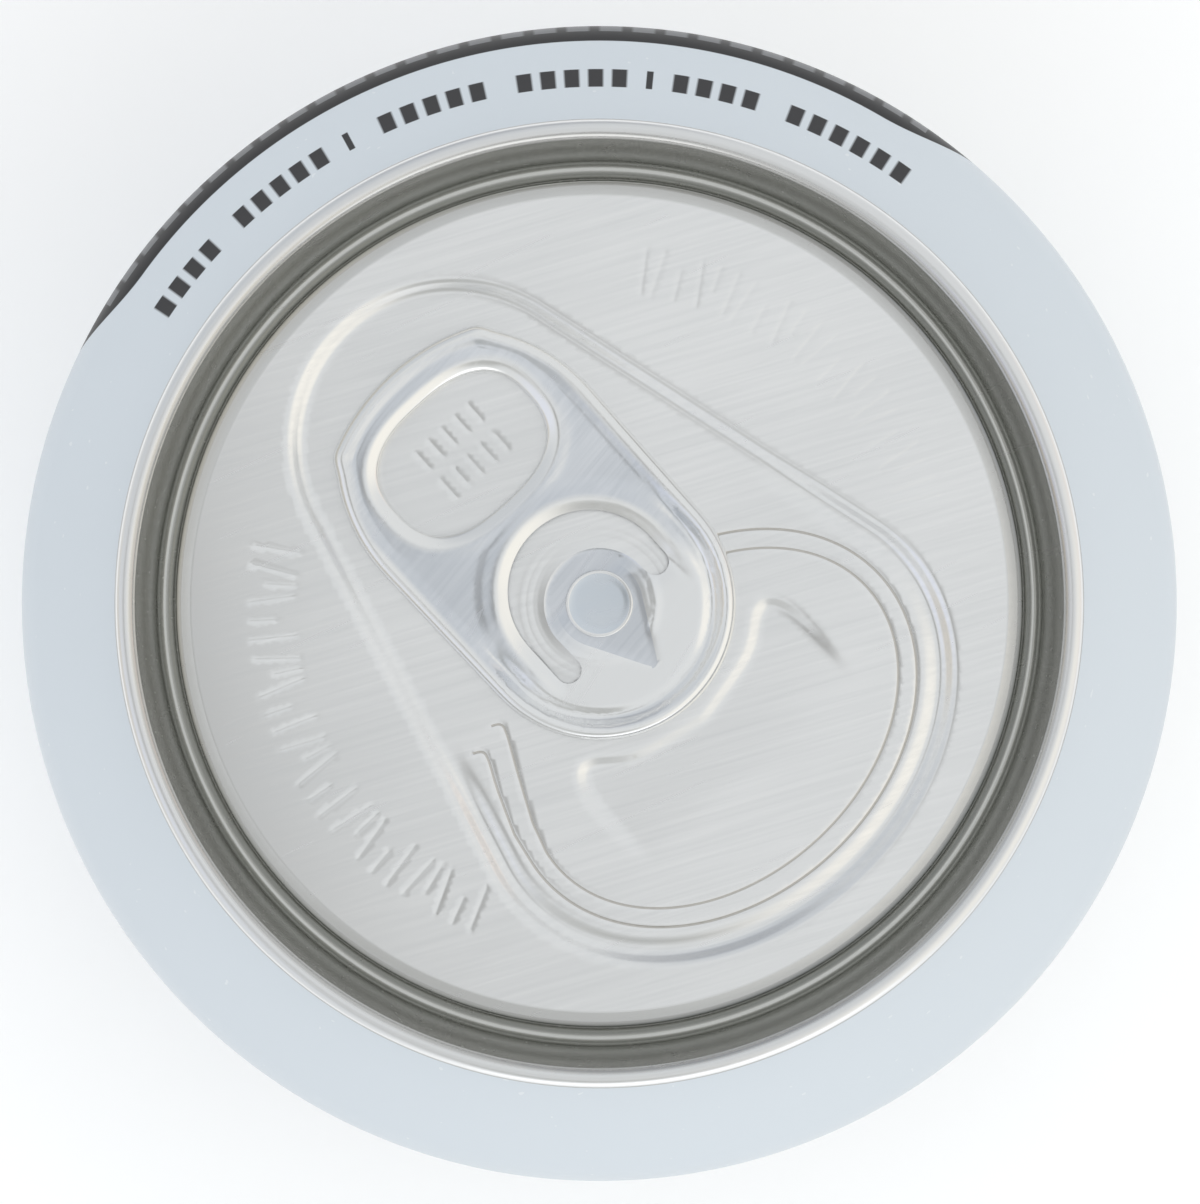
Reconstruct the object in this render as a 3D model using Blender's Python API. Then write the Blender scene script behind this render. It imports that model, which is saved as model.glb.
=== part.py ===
"""A shut and full 355 ml drinks can in three pieces: the body, the seamed end and the pull tab.

Sizes are in millimetres, and MM turns them into Blender's metres when a mesh is made. The can stands on
z = 0 with its axis on z. The tab's finger end points to +y and the mouth lies towards -y.
"""

import math

import bmesh
import bpy
import numpy as np
from mathutils import Vector
from mathutils.geometry import delaunay_2d_cdt

MM = 0.001
GAP = 0.3  # left between pieces that touch

# Body
CAN_HEIGHT = 122.2
BODY_RADIUS = 33.1
BODY_SIDES = 56
STAND_INNER, STAND_OUTER = 23.8, 24.6  # the flat ring that the can stands on
STAND_BEND = 1.2
LEG_RADIUS = 22.6
LEG_BEND = 1.5
DOME_RADIUS, DOME_HEIGHT = 45.0, 10.5
HEEL_SLOPE, HEEL_BEND = 48.0, 7.0
SHOULDER_BEND = 6.0
NECK_SLOPE, NECK_BEND = 33.0, 4.0  # the slope is from the vertical
NECK_RADIUS = 26.45
NECK_FOOT = 3.8  # below the rim

# End, with depths below the rim
END_SIDES = 64
SHEET = 0.22
SEAM_OUTER, SEAM_INNER, SEAM_LENGTH = 27.14, 25.99, 2.5
CHUCK_SLOPE = 13.0
SINK_RADIUS, SINK_BEND, SINK_DEPTH = 24.5, 0.5, 6.5
PANEL_RADIUS, PANEL_BEND = 23.9, 0.45
PANEL_BAND = (23.05, 23.5)  # the sloping band at the panel's edge
PANEL_DEPTH, BAND_DROP = 4.2, 0.08
PANEL_BULGE = 0.3  # how far the panel's edge lies below its middle
UNDERSIDE_DEPTH = 5.35

# Pressed relief of the panel
RECESS_DROP = 0.45
RECESS_WALL = 1.05
RECESS_TOP = (12.2, 8.4)  # y of the centre, and radius, of its round end under the tab
MOUTH_Y = -9.5  # centre of the oval round the mouth
GROOVE_HALF = (14.15, 10.9)
GROOVE_DROP, GROOVE_RISE = 0.2, 0.95
GROOVE_FADE = (0.0, -4.5)  # the groove starts at the first y and is full at the second
SCORE_ANGLES = (172, 414)  # where the lines round the mouth join and leave their ovals
SCORE_HALF = (12.75, 9.75)
SCORE_HOOK = ((-10.95, -1.45), (-10.5, -1.75), (-10.55, -2.3), (-11.3, -3.9), (-12.3, -6.4))
SCORE_TAIL = ((7.2, -1.6), (5.0, -2.3), (2.5, -3.3), (-1.0, -3.8))
SCORE_DEPTH, SCORE_WIDTH = 0.12, 0.34
INNER_SCORE_HALF = (11.75, 8.6)
INNER_SCORE_HOOK = ((-9.15, -1.0), (-8.7, -1.3), (-8.8, -1.9), (-9.8, -3.9), (-11.1, -6.6))
INNER_SCORE_TAIL = ((7.0, -2.55), (5.2, -3.1), (2.5, -4.3), (-1.0, -4.8))
INNER_SCORE_DEPTH = 0.08
BEAD_DROP, BEAD_RAMP = 0.2, 0.7
BEAD_FADE = (-12.4, -8.0)
BEAD_EDGE = ((8.0, -14.0), (8.2, -9.0), (7.6, -6.2), (6.3, -6.0), (4.0, -7.4), (0.0, -8.35))

# Rivet, with heights above the recess floor
RIVET_SIDES = 24
SHANK_RADIUS, HEAD_RADIUS = 1.35, 1.9
HEAD_BOTTOM, HEAD_TOP, HEAD_BEVEL, HEAD_DISH = 0.96, 1.32, 0.14, 0.06
COIN_RADIUS, COIN_RISE, COIN_RAMP = 3.5, 0.06, 0.35

# Pull tab, with heights above the recess floor
TAB_NOSE_RADIUS = 7.7
TAB_HALF_WIDTH, TAB_WIDEST_Y, TAB_CORNER_RADIUS = 7.85, 9.5, 10.2
TAB_END_Y, TAB_END_RADIUS, TAB_END_HALF = 17.5, 12.7, 5.6
TAB_MIDDLE, TAB_TOP = 0.95, 1.6
CURL_PEAK, CURL_WIDTH = 0.42, 0.85
WEB_TOP, WEB_SHEET = 1.2, 0.3
FINGER_HOLE = (0.0, 11.42, 4.95, 3.63, 2.6)  # centre x and y, half width and height, and squareness
FINGER_CURL_TOP = 1.55
TAB_LIFT, LIFT_FROM, LIFT_OVER = 0.3, 4.0, 14.0
PLATE_TOP, PLATE_FROM, PLATE_TO = 0.98, 2.0, -2.0
DISH_DROP, DISH_WIDTH, DISH_FADE = 0.16, 0.8, (2.0, -1.0)
ISLAND_TOP, ISLAND_RADIUS, ISLAND_HOLE = 0.66, 3.12, 1.65
ISLAND_POINT_Y, ISLAND_DISH, ISLAND_RAMP = -4.2, 2.1, 0.45
SLOT_CENTRE, SLOT_RADIUS, SLOT_END_RADIUS = (0.05, 0.85), 4.62, 0.75
SLOT_ENDS_Y = (-1.6, -0.4)  # of the left and the right end's round
TONGUE_DROP, TONGUE_RAMP, TONGUE_FADE = 0.7, 0.5, (-1.5, 0.5)  # the island's upper side is pressed down
RING_TOP, RING_WIDTH, RING_FADE = 1.45, 1.1, (-4.0, -1.0)

Z_FLOOR = CAN_HEIGHT - PANEL_DEPTH - RECESS_DROP

ALUMINIUM = ((0.80, 0.80, 0.79), 0.28, 1.0)
TAB_ALUMINIUM = ((0.76, 0.78, 0.81), 0.24, 1.0)
PAINT = ((0.62, 0.70, 0.75), 0.30, 0.35)


def arc(x, y, radius, start, end, steps):
    """Points on a circle, from one angle to the other, in degrees."""
    angles = [math.radians(start + (end - start) * k / steps) for k in range(steps + 1)]
    return [(x + radius * math.cos(a), y + radius * math.sin(a)) for a in angles]


def mirrored(half):
    """A closed outline from its right half, which runs from its first point on x = 0 to its last."""
    left = [(-x, y) for x, y in reversed(half) if x > 1e-6]
    return list(half) + left


def spaced(points, step, closed=True):
    """Points an even step apart along an outline."""
    line = np.array(list(points) + ([points[0]] if closed else []), float)
    lengths = np.concatenate([[0], np.cumsum(np.hypot(*np.diff(line, axis=0).T))])
    count = max(3, round(lengths[-1] / step))
    stops = np.linspace(0, lengths[-1], count + 1)
    even = np.stack([np.interp(stops, lengths, line[:, k]) for k in (0, 1)], axis=1)
    return [tuple(p) for p in (even[:-1] if closed else even)]


def smooth_curve(points, steps=8):
    """A curve through the points, by Catmull and Rom's rule."""
    p = [np.array(q, float) for q in (points[0], *points, points[-1])]
    curve = []
    for a, b, c, d in zip(p, p[1:], p[2:], p[3:]):
        for k in range(steps):
            t = k / steps
            bend = 2 * a - 5 * b + 4 * c - d + (3 * (b - c) + d - a) * t
            curve.append(tuple(b + 0.5 * t * (c - a + t * bend)))
    return curve + [tuple(p[-1])]


def distance(points, line, closed=True):
    """The distance from each point to an outline."""
    ends = np.array(list(line) + ([line[0]] if closed else []), float)
    start, run = ends[:-1], np.diff(ends, axis=0)
    offset = points[:, None, :] - start
    share = (offset * run).sum(-1) / (run**2).sum(-1)
    nearest = offset - share.clip(0, 1)[..., None] * run
    return np.sqrt((nearest**2).sum(-1).min(1))


def inside(points, outline):
    """True for each point within a closed outline."""
    a = np.array(outline, float)
    b = np.roll(a, -1, axis=0)
    x, y = points[:, :1], points[:, 1:]
    spans = (a[:, 1] > y) != (b[:, 1] > y)
    rise = np.where(b[:, 1] == a[:, 1], 1.0, b[:, 1] - a[:, 1])
    crosses = x < a[:, 0] + (y - a[:, 1]) / rise * (b[:, 0] - a[:, 0])
    return (spans & crosses).sum(1) % 2 == 1


def depth_within(points, outline):
    """The distance to a closed outline, positive inside it."""
    return distance(points, outline) * np.where(inside(points, outline), 1, -1)


def ease(value, start, end):
    """A smooth step from 0 at start to 1 at end."""
    t = ((value - start) / (end - start)).clip(0, 1)
    return t * t * (3 - 2 * t)


def hull_of(round_y, radius, oval_y, half, grow, steps=72):
    """The outline, grown outwards, of a band stretched round a circle and an oval, both centred on x = 0."""
    radius, a, b = radius + grow, half[0] + grow, half[1] + grow
    outline = []
    for k in range(steps):
        turn = math.pi / 2 - 2 * math.pi * k / steps
        c, s = math.cos(turn), math.sin(turn)
        reach = math.hypot(a * c, b * s)
        if round_y * s + radius > oval_y * s + reach:
            outline.append((radius * c, round_y + radius * s))
        else:
            outline.append((a * a * c / reach, oval_y + b * b * s / reach))
    return outline


def superellipse(x, y, half_x, half_y, power, grow=0.0, steps=48):
    """A rounded box-like outline, grown outwards."""
    outline = []
    for k in range(steps):
        turn = 2 * math.pi * k / steps
        c, s = math.cos(turn), math.sin(turn)
        across = math.copysign(abs(c) ** (2 / power), c) * (half_x + grow)
        along = math.copysign(abs(s) ** (2 / power), s) * (half_y + grow)
        outline.append((x + across, y + along))
    return outline


def recess_line(grow=0.0):
    """The foot of the recess wall and, round the mouth, the bottom of the groove."""
    return hull_of(*RECESS_TOP, MOUTH_Y, GROOVE_HALF, grow)


def score_line(half, hook, under_tab):
    """An open line round the mouth, from the hook at its left to its end under the tab's nose."""
    oval = [(half[0] * x, MOUTH_Y + half[1] * y) for x, y in arc(0, 0, 1, *SCORE_ANGLES, 34)]
    return spaced(smooth_curve(hook, 4) + oval + smooth_curve(under_tab, 3), 1.3, closed=False)


def outer_score():
    return score_line(SCORE_HALF, SCORE_HOOK, SCORE_TAIL)


def inner_score():
    return score_line(INNER_SCORE_HALF, INNER_SCORE_HOOK, INNER_SCORE_TAIL)


def bead_line():
    """The edge of the shallow bead pressed into the tear panel below the tab's nose."""
    half = smooth_curve(BEAD_EDGE, 4)
    return mirrored(half[::-1])


def rounded_slot():
    """The C-shaped slot of the tab round the rivet, from its right end over the top to its left end."""
    x, y = SLOT_CENTRE
    left, right = SLOT_ENDS_Y
    left_x = x - SLOT_RADIUS + SLOT_END_RADIUS
    right_x = x + SLOT_RADIUS - SLOT_END_RADIUS
    outer = arc(x, y, SLOT_RADIUS, 0, 180, 22)
    left_end = arc(left_x, left, SLOT_END_RADIUS, 180, 360, 8)
    island = arc(0, 0, ISLAND_RADIUS, 175, 5, 18)
    right_end = arc(right_x, right, SLOT_END_RADIUS, 180, 360, 8)
    return outer + left_end + island + right_end


def tab_outline():
    """The tab's edge: a round nose about the rivet, nearly straight sides, and a blunt finger end."""
    corner_x = TAB_HALF_WIDTH - TAB_CORNER_RADIUS
    blunt = math.degrees(math.acos(TAB_END_HALF / TAB_END_RADIUS))
    end = arc(0, TAB_END_Y - TAB_END_RADIUS, TAB_END_RADIUS, 90, blunt, 5)
    corner = arc(corner_x, TAB_WIDEST_Y, TAB_CORNER_RADIUS, 36, 0, 6)
    nose = arc(0, 0, TAB_NOSE_RADIUS, 0, -90, 16)
    return spaced(mirrored(end + corner + nose), 1.15)


def finger_hole(grow=0.0):
    return superellipse(*FINGER_HOLE, grow)


def island_dish():
    """The low ground of the island: a disc about the rivet drawn out to a point towards the nose."""
    reach = math.degrees(math.acos(ISLAND_DISH / -ISLAND_POINT_Y))
    return arc(0, 0, ISLAND_DISH, -90 + reach, 270 - reach, 20) + [(0, ISLAND_POINT_Y)]


def offset(line, by, closed=True):
    """A copy of an outline moved to its left by a distance."""
    p = np.array(line, float)
    if closed:
        along = np.roll(p, -1, axis=0) - np.roll(p, 1, axis=0)
    else:
        along = np.gradient(p, axis=0)
    along /= np.hypot(*along.T)[:, None]
    return [tuple(q) for q in p + by * np.stack([-along[:, 1], along[:, 0]], axis=1)]


def both_sides(line, by):
    """A closed outline round an open line, a distance from it and past its ends."""
    p = np.array(line)
    ends = [tuple(a + by * (a - b) / np.hypot(*(a - b))) for a, b in ((p[-1], p[-2]), (p[0], p[1]))]
    left, right = (offset(line, side * by, closed=False) for side in (1, -1))
    return left + ends[:1] + right[::-1] + ends[1:]


def panel_height(points):
    """The height of the panel's upper face at each point."""
    x, y = points.T
    within = depth_within(points, recess_line())
    groove = GROOVE_DROP * ease(y, *GROOVE_FADE)
    wall = -(RECESS_DROP + groove) * ease(within, -RECESS_WALL, 0)
    rise = groove * ease(within, 0, GROOVE_RISE)
    bead = BEAD_DROP * ease(depth_within(points, bead_line()), 0, BEAD_RAMP) * ease(y, *BEAD_FADE)
    coin = COIN_RISE * ease(np.hypot(x, y), COIN_RADIUS, COIN_RADIUS - COIN_RAMP)
    height = wall + rise - bead + coin - PANEL_BULGE * (np.hypot(x, y) / PANEL_BAND[0]) ** 2
    for line, deep in ((outer_score(), SCORE_DEPTH), (inner_score(), INNER_SCORE_DEPTH)):
        near = distance(points, line, closed=False)
        height -= deep * (1 - 2 * near / SCORE_WIDTH).clip(0, 1)
    return CAN_HEIGHT - PANEL_DEPTH + height


def rolled(points, sheet, edge_peak, hole_peak):
    """A face of the tab: its sheet, with rolls along the outer edge and round the finger hole."""
    face = sheet
    rims = (depth_within(points, tab_outline()), edge_peak), (-depth_within(points, finger_hole()), hole_peak)
    for within, peak in rims:
        round_side = np.sqrt(1 - (1 - within / CURL_PEAK).clip(0, 1) ** 2)
        outer = TAB_MIDDLE + (peak - TAB_MIDDLE) * round_side
        past = peak + (face - peak) * ease(within, CURL_PEAK, CURL_WIDTH)
        face = np.where(within < CURL_PEAK, outer, past)
    return face + TAB_LIFT * ease(points[:, 1], LIFT_FROM, LIFT_FROM + LIFT_OVER)


def tab_sheet(points):
    """The height of the tab's plain sheet between its rolled edges."""
    y = points[:, 1]
    plate = WEB_TOP + (PLATE_TOP - WEB_TOP) * ease(y, PLATE_FROM, PLATE_TO)
    nose = depth_within(points, tab_outline())
    dish = DISH_DROP * ease(nose, CURL_WIDTH + DISH_WIDTH, CURL_WIDTH) * ease(y, *DISH_FADE)
    low = ease(depth_within(points, island_dish()), -ISLAND_RAMP, 0)
    tongue = ease(np.hypot(*points.T), ISLAND_RADIUS + TONGUE_RAMP, ISLAND_RADIUS) * ease(y, *TONGUE_FADE)
    low = np.maximum(low, TONGUE_DROP * tongue)
    return plate - dish + (ISLAND_TOP - plate) * low


def slot_ring(points):
    """How far the bead round the slot stands above the sheet."""
    x, y = points.T
    out = np.hypot(x - SLOT_CENTRE[0], (y - SLOT_CENTRE[1]).clip(0)) - SLOT_RADIUS
    crest = 1 - np.abs(2 * out / RING_WIDTH - 1)
    return (RING_TOP - WEB_TOP) * ease(crest, 0, 1) * ease(y, *RING_FADE)


def tab_top(points):
    """The height of the tab's upper face."""
    return Z_FLOOR + rolled(points, tab_sheet(points) + slot_ring(points), TAB_TOP, FINGER_CURL_TOP)


def tab_bottom(points):
    """The height of the tab's lower face."""
    return Z_FLOOR + rolled(points, tab_sheet(points) - WEB_SHEET, GAP, 2 * TAB_MIDDLE - FINGER_CURL_TOP)


def outline_verts(bm, outline, height):
    """Vertices along an outline, at the heights that a function gives."""
    heights = height(np.array(outline))
    return [bm.verts.new((x * MM, y * MM, z * MM)) for (x, y), z in zip(outline, heights)]


def ring(bm, radius, height, sides):
    """A level ring of vertices about the z axis."""
    return [bm.verts.new((x * MM, y * MM, height * MM)) for x, y in arc(0, 0, radius, 0, 360, sides)[:-1]]


def join(bm, first, second):
    """Faces between two rings, of which the second is above the first or within it."""
    for k in range(len(first)):
        after = (k + 1) % len(first)
        bm.faces.new((first[k], first[after], second[after], second[k]))


def turn(bm, profile, sides, start=None):
    """Joins a ring for each radius and height of a profile to the one before, and returns the last."""
    last = start
    for radius, height in profile:
        new = ring(bm, radius, height, sides)
        if last:
            join(bm, last, new)
        last = new
    return last


def fill(bm, borders, lines, height):
    """Fills between closed borders of vertices, the outer one first, with a face that takes its height from
    a function and has an edge along each line."""
    verts = [v for border in borders for v in border]
    coords = [Vector((v.co.x / MM, v.co.y / MM)) for v in verts]
    edges = []
    start = 0
    for border in borders:
        count = len(border)
        edges += [(start + k, start + (k + 1) % count) for k in range(count)]
        start += count
    for line, closed in lines:
        start = len(coords)
        coords += [Vector(p) for p in line]
        edges += [(start + k, start + k + 1) for k in range(len(line) - 1)]
        if closed:
            edges.append((start + len(line) - 1, start))
    found, _, faces, sources, _, _ = delaunay_2d_cdt(coords, edges, [], 0, 1e-6)
    flat = np.array([tuple(v) for v in found])
    middles = np.array([flat[list(face)].mean(0) for face in faces])
    outlines = [[(v.co.x / MM, v.co.y / MM) for v in border] for border in borders]
    keep = inside(middles, outlines[0])
    for hole in outlines[1:]:
        keep &= ~inside(middles, hole)
    owners = [number for number, border in enumerate(borders) for _ in border]
    made, homes = [], []
    for spot, source, z in zip(flat, sources, height(flat)):
        shared = [s for s in source if s < len(verts)]
        made.append(verts[shared[0]] if shared else bm.verts.new((spot[0] * MM, spot[1] * MM, z * MM)))
        homes.append(owners[shared[0]] if shared else None)
    for face, kept in zip(faces, keep):
        sliver = homes[face[0]] is not None and len({homes[k] for k in face}) == 1
        if kept and not sliver:
            bm.faces.new([made[k] for k in face])
    bmesh.ops.delete(bm, geom=[v for v in made if not v.link_faces], context="VERTS")


def finish(bm, name, look, sharp=35):
    """Makes the object of a closed mesh and gives it a material of its own."""
    bmesh.ops.recalc_face_normals(bm, faces=bm.faces[:])
    mesh = bpy.data.meshes.new(name)
    bm.to_mesh(mesh)
    bm.free()
    mesh.shade_smooth()
    mesh.set_sharp_from_angle(angle=math.radians(sharp))
    obj = bpy.data.objects.new(name, mesh)
    bpy.context.scene.collection.objects.link(obj)
    colour, roughness, metallic = look
    material = bpy.data.materials.new(name)
    material.use_nodes = True
    shader = material.node_tree.nodes["Principled BSDF"]
    shader.inputs["Base Color"].default_value = (*colour, 1)
    shader.inputs["Roughness"].default_value = roughness
    shader.inputs["Metallic"].default_value = metallic
    mesh.materials.append(material)
    return obj


def chuck_wall_top():
    """The radius and depth of the top of the wall that rises from the countersink to the seam."""
    slope = math.radians(CHUCK_SLOPE)
    foot = SINK_RADIUS + SINK_BEND * math.cos(slope)
    foot_depth = SINK_DEPTH - SINK_BEND + SINK_BEND * math.sin(slope)
    return foot + (foot_depth - SEAM_LENGTH) * math.tan(slope), SEAM_LENGTH


def body_profile():
    """Radii and heights of the body, from the middle of the dome out, up and back to the middle of the top."""
    bend_x = LEG_RADIUS - LEG_BEND
    tilt = math.asin(bend_x / (DOME_RADIUS - LEG_BEND))
    dome_y = DOME_HEIGHT - DOME_RADIUS
    bend_y = dome_y + (DOME_RADIUS - LEG_BEND) * math.cos(tilt)
    tilt = math.degrees(tilt)
    dome = arc(0, dome_y, DOME_RADIUS, 90, 90 - tilt, 4)[1:]
    leg = arc(bend_x, bend_y, LEG_BEND, 90 - tilt, 0, 2)[1:]
    inner = arc(STAND_INNER, STAND_BEND, STAND_BEND, 180, 270, 3)
    outer = arc(STAND_OUTER, STAND_BEND, STAND_BEND, 270, 270 + HEEL_SLOPE, 3)
    heel_x = BODY_RADIUS - HEEL_BEND
    slope = math.radians(HEEL_SLOPE)
    run = heel_x + HEEL_BEND * math.sin(slope) - outer[-1][0]
    heel_y = outer[-1][1] + run * math.tan(slope) + HEEL_BEND * math.cos(slope)
    heel = arc(heel_x, heel_y, HEEL_BEND, HEEL_SLOPE - 90, 0, 3)
    neck_y = CAN_HEIGHT - NECK_FOOT
    neck = arc(NECK_RADIUS + NECK_BEND, neck_y, NECK_BEND, 180 + NECK_SLOPE, 180, 2)
    shoulder_x = BODY_RADIUS - SHOULDER_BEND
    slope = math.radians(NECK_SLOPE)
    run = shoulder_x + SHOULDER_BEND * math.cos(slope) - neck[0][0]
    shoulder_y = neck[0][1] - run / math.tan(slope) - SHOULDER_BEND * math.sin(slope)
    shoulder = arc(shoulder_x, shoulder_y, SHOULDER_BEND, 0, NECK_SLOPE, 4)
    return dome + leg + inner + outer + heel + shoulder + neck + nest_profile()


def nest_profile():
    """Radii and heights of the body's top, which follows the end's lower face a gap away."""
    top, top_depth = chuck_wall_top()
    slope = math.radians(CHUCK_SLOPE)
    aside = (SHEET + GAP) / math.cos(slope)
    rim_depth = top_depth + GAP
    rim = top + aside - GAP * math.tan(slope)
    side = SINK_BEND + SHEET + GAP
    bend_depth = SINK_DEPTH - SINK_BEND
    bend = arc(SINK_RADIUS, -bend_depth, side, -CHUCK_SLOPE, -180, 4)
    wall = [(SINK_RADIUS - side, -UNDERSIDE_DEPTH - GAP)]
    profile = [(NECK_RADIUS, -rim_depth), (rim, -rim_depth)] + bend + wall
    return [(radius, CAN_HEIGHT + depth) for radius, depth in profile]


def make_body():
    bm = bmesh.new()
    profile = body_profile()
    middle = bm.verts.new((0, 0, DOME_HEIGHT * MM))
    first = ring(bm, *profile[0], BODY_SIDES)
    for k in range(BODY_SIDES):
        bm.faces.new((middle, first[(k + 1) % BODY_SIDES], first[k]))
    last = turn(bm, profile[1:], BODY_SIDES, first)
    bm.faces.new(last)
    return finish(bm, "can_body", PAINT)


def end_profile():
    """Radii and heights of the end, from the panel's edge over the seam and back along its lower face."""
    top, top_depth = chuck_wall_top()
    bend_depth = SINK_DEPTH - SINK_BEND
    band_depth = PANEL_DEPTH + PANEL_BULGE + BAND_DROP
    band = [(PANEL_BAND[1], -band_depth)]
    edge = arc(PANEL_RADIUS - PANEL_BEND, -band_depth - PANEL_BEND, PANEL_BEND, 60, 0, 2)
    sink = arc(SINK_RADIUS, -bend_depth, SINK_BEND, 180, 360 - CHUCK_SLOPE, 5)
    roll = (SEAM_OUTER - SEAM_INNER) / 2
    seam = arc(SEAM_OUTER - roll, -roll, roll, 180, 0, 6)
    aside = SHEET / math.cos(math.radians(CHUCK_SLOPE))
    below = [(SEAM_OUTER, -SEAM_LENGTH), (top + aside, -SEAM_LENGTH)]
    under = arc(SINK_RADIUS, -bend_depth, SINK_BEND + SHEET, -CHUCK_SLOPE, -180, 4)
    inner = [(SINK_RADIUS - SINK_BEND - SHEET, -UNDERSIDE_DEPTH)]
    profile = band + edge + sink + [(top, -top_depth)] + seam + below + under + inner
    return [(radius, CAN_HEIGHT + depth) for radius, depth in profile]


def rivet_profile():
    """Radii and heights of the rivet, from the recess floor to near the middle of its head."""
    heights = [
        (SHANK_RADIUS, HEAD_BOTTOM),
        (HEAD_RADIUS, HEAD_BOTTOM),
        (HEAD_RADIUS, HEAD_TOP - HEAD_BEVEL),
        (HEAD_RADIUS - HEAD_BEVEL, HEAD_TOP),
        (HEAD_RADIUS - 3 * HEAD_BEVEL, HEAD_TOP - HEAD_DISH),
    ]
    return [(radius, Z_FLOOR + height) for radius, height in heights]


def make_end():
    bm = bmesh.new()
    edge = ring(bm, PANEL_BAND[0], CAN_HEIGHT - PANEL_DEPTH - PANEL_BULGE, END_SIDES)
    last = turn(bm, end_profile(), END_SIDES, edge)
    bm.faces.new(last)
    root = ring(bm, SHANK_RADIUS, Z_FLOOR + COIN_RISE, RIVET_SIDES)
    head = turn(bm, rivet_profile(), RIVET_SIDES, root)
    bm.faces.new(head)
    groove = [p for p in recess_line(-GROOVE_RISE) if p[1] < GROOVE_FADE[0]]
    lines = [(recess_line(RECESS_WALL), True), (recess_line(), True), (groove, False)]
    for score in (outer_score(), inner_score()):
        lines += [(score, False), (both_sides(score, SCORE_WIDTH / 2), True)]
    bead = bead_line()
    ramp = [p for p in offset(bead, -BEAD_RAMP) if p[1] > BEAD_FADE[0]]
    lines += [(bead, True), (ramp, False)]
    lines += [(arc(0, 0, radius, 0, 360, 24)[:-1], True) for radius in (COIN_RADIUS, COIN_RADIUS - COIN_RAMP)]
    fill(bm, [edge, root], lines, panel_height)
    return finish(bm, "can_end", ALUMINIUM)


def tab_lines():
    """Lines that the tab's faces bend along."""
    lines = []
    for within in (0.1 * CURL_PEAK, 0.4 * CURL_PEAK, CURL_PEAK, (CURL_PEAK + CURL_WIDTH) / 2, CURL_WIDTH):
        lines += [(offset(tab_outline(), -within), True), (finger_hole(within), True)]
    nose = [p for p in offset(tab_outline(), -CURL_WIDTH - DISH_WIDTH) if p[1] < DISH_FADE[0]]
    x, y = SLOT_CENTRE
    for share in (0.25, 0.5, 1):
        radius = SLOT_RADIUS + share * RING_WIDTH
        legs = [(x + side * radius, RING_FADE[0]) for side in (1, -1)]
        lines.append(([legs[0], *arc(x, y, radius, 0, 180, 20), legs[1]], False))
    dish = island_dish()
    return lines + [(nose, False), (dish, True), (offset(dish, -ISLAND_RAMP), True)]


def make_tab():
    bm = bmesh.new()
    cuts = [spaced(rounded_slot(), 0.8), arc(0, 0, ISLAND_HOLE, 0, 360, RIVET_SIDES)[:-1]]
    upper = [outline_verts(bm, outline, tab_top) for outline in (tab_outline(), finger_hole(), *cuts)]
    lower = upper[:2] + [outline_verts(bm, outline, tab_bottom) for outline in cuts]
    for over, under in zip(upper[2:], lower[2:]):
        join(bm, under, over)
    fill(bm, upper, tab_lines(), tab_top)
    fill(bm, lower, tab_lines(), tab_bottom)
    return finish(bm, "pull_tab", TAB_ALUMINIUM)


def clear_scene():
    for obj in list(bpy.data.objects):
        bpy.data.objects.remove(obj)


clear_scene()
make_body()
make_end()
make_tab()
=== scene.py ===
"""The looks of a shut and full 355 ml drinks can: its printed shell, its formed end and its pull tab.

Sizes are in millimetres, and MM turns them into Blender's metres. The can stands on z = 0 with its axis on z.
The tab's finger end points to +y and the mouth lies towards -y. The lighting and the camera look down on the
end, turned as in the photograph.
"""

import math
from functools import partialmethod, reduce

import bpy
import numpy as np
from mathutils import Euler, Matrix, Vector
from mathutils.geometry import delaunay_2d_cdt
from mathutils.kdtree import KDTree


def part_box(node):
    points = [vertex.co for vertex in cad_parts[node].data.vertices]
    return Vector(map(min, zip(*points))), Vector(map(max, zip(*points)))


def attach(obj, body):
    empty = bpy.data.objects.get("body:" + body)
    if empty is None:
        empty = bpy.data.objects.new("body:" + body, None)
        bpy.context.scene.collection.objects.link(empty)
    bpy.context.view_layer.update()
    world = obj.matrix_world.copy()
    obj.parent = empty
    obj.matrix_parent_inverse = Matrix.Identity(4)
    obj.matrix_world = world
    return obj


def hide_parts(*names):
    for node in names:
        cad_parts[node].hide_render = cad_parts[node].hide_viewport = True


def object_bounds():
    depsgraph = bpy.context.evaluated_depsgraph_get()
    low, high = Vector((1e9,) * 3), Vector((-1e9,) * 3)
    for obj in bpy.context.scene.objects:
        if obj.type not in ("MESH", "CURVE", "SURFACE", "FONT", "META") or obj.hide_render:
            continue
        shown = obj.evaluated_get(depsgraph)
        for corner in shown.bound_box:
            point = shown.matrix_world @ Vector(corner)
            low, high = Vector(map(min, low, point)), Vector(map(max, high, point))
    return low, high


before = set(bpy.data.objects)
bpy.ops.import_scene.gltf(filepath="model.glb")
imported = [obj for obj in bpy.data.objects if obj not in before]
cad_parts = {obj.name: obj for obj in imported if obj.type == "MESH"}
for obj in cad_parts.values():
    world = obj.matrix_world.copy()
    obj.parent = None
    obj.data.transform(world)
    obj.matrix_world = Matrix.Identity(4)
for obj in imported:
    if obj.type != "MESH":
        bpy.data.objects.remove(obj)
CAD_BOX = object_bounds()

MM = 0.001
END_LOW, END_HIGH = (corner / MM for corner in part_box("can_end"))
TAB_LOW, TAB_HIGH = (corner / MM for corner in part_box("pull_tab"))

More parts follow.
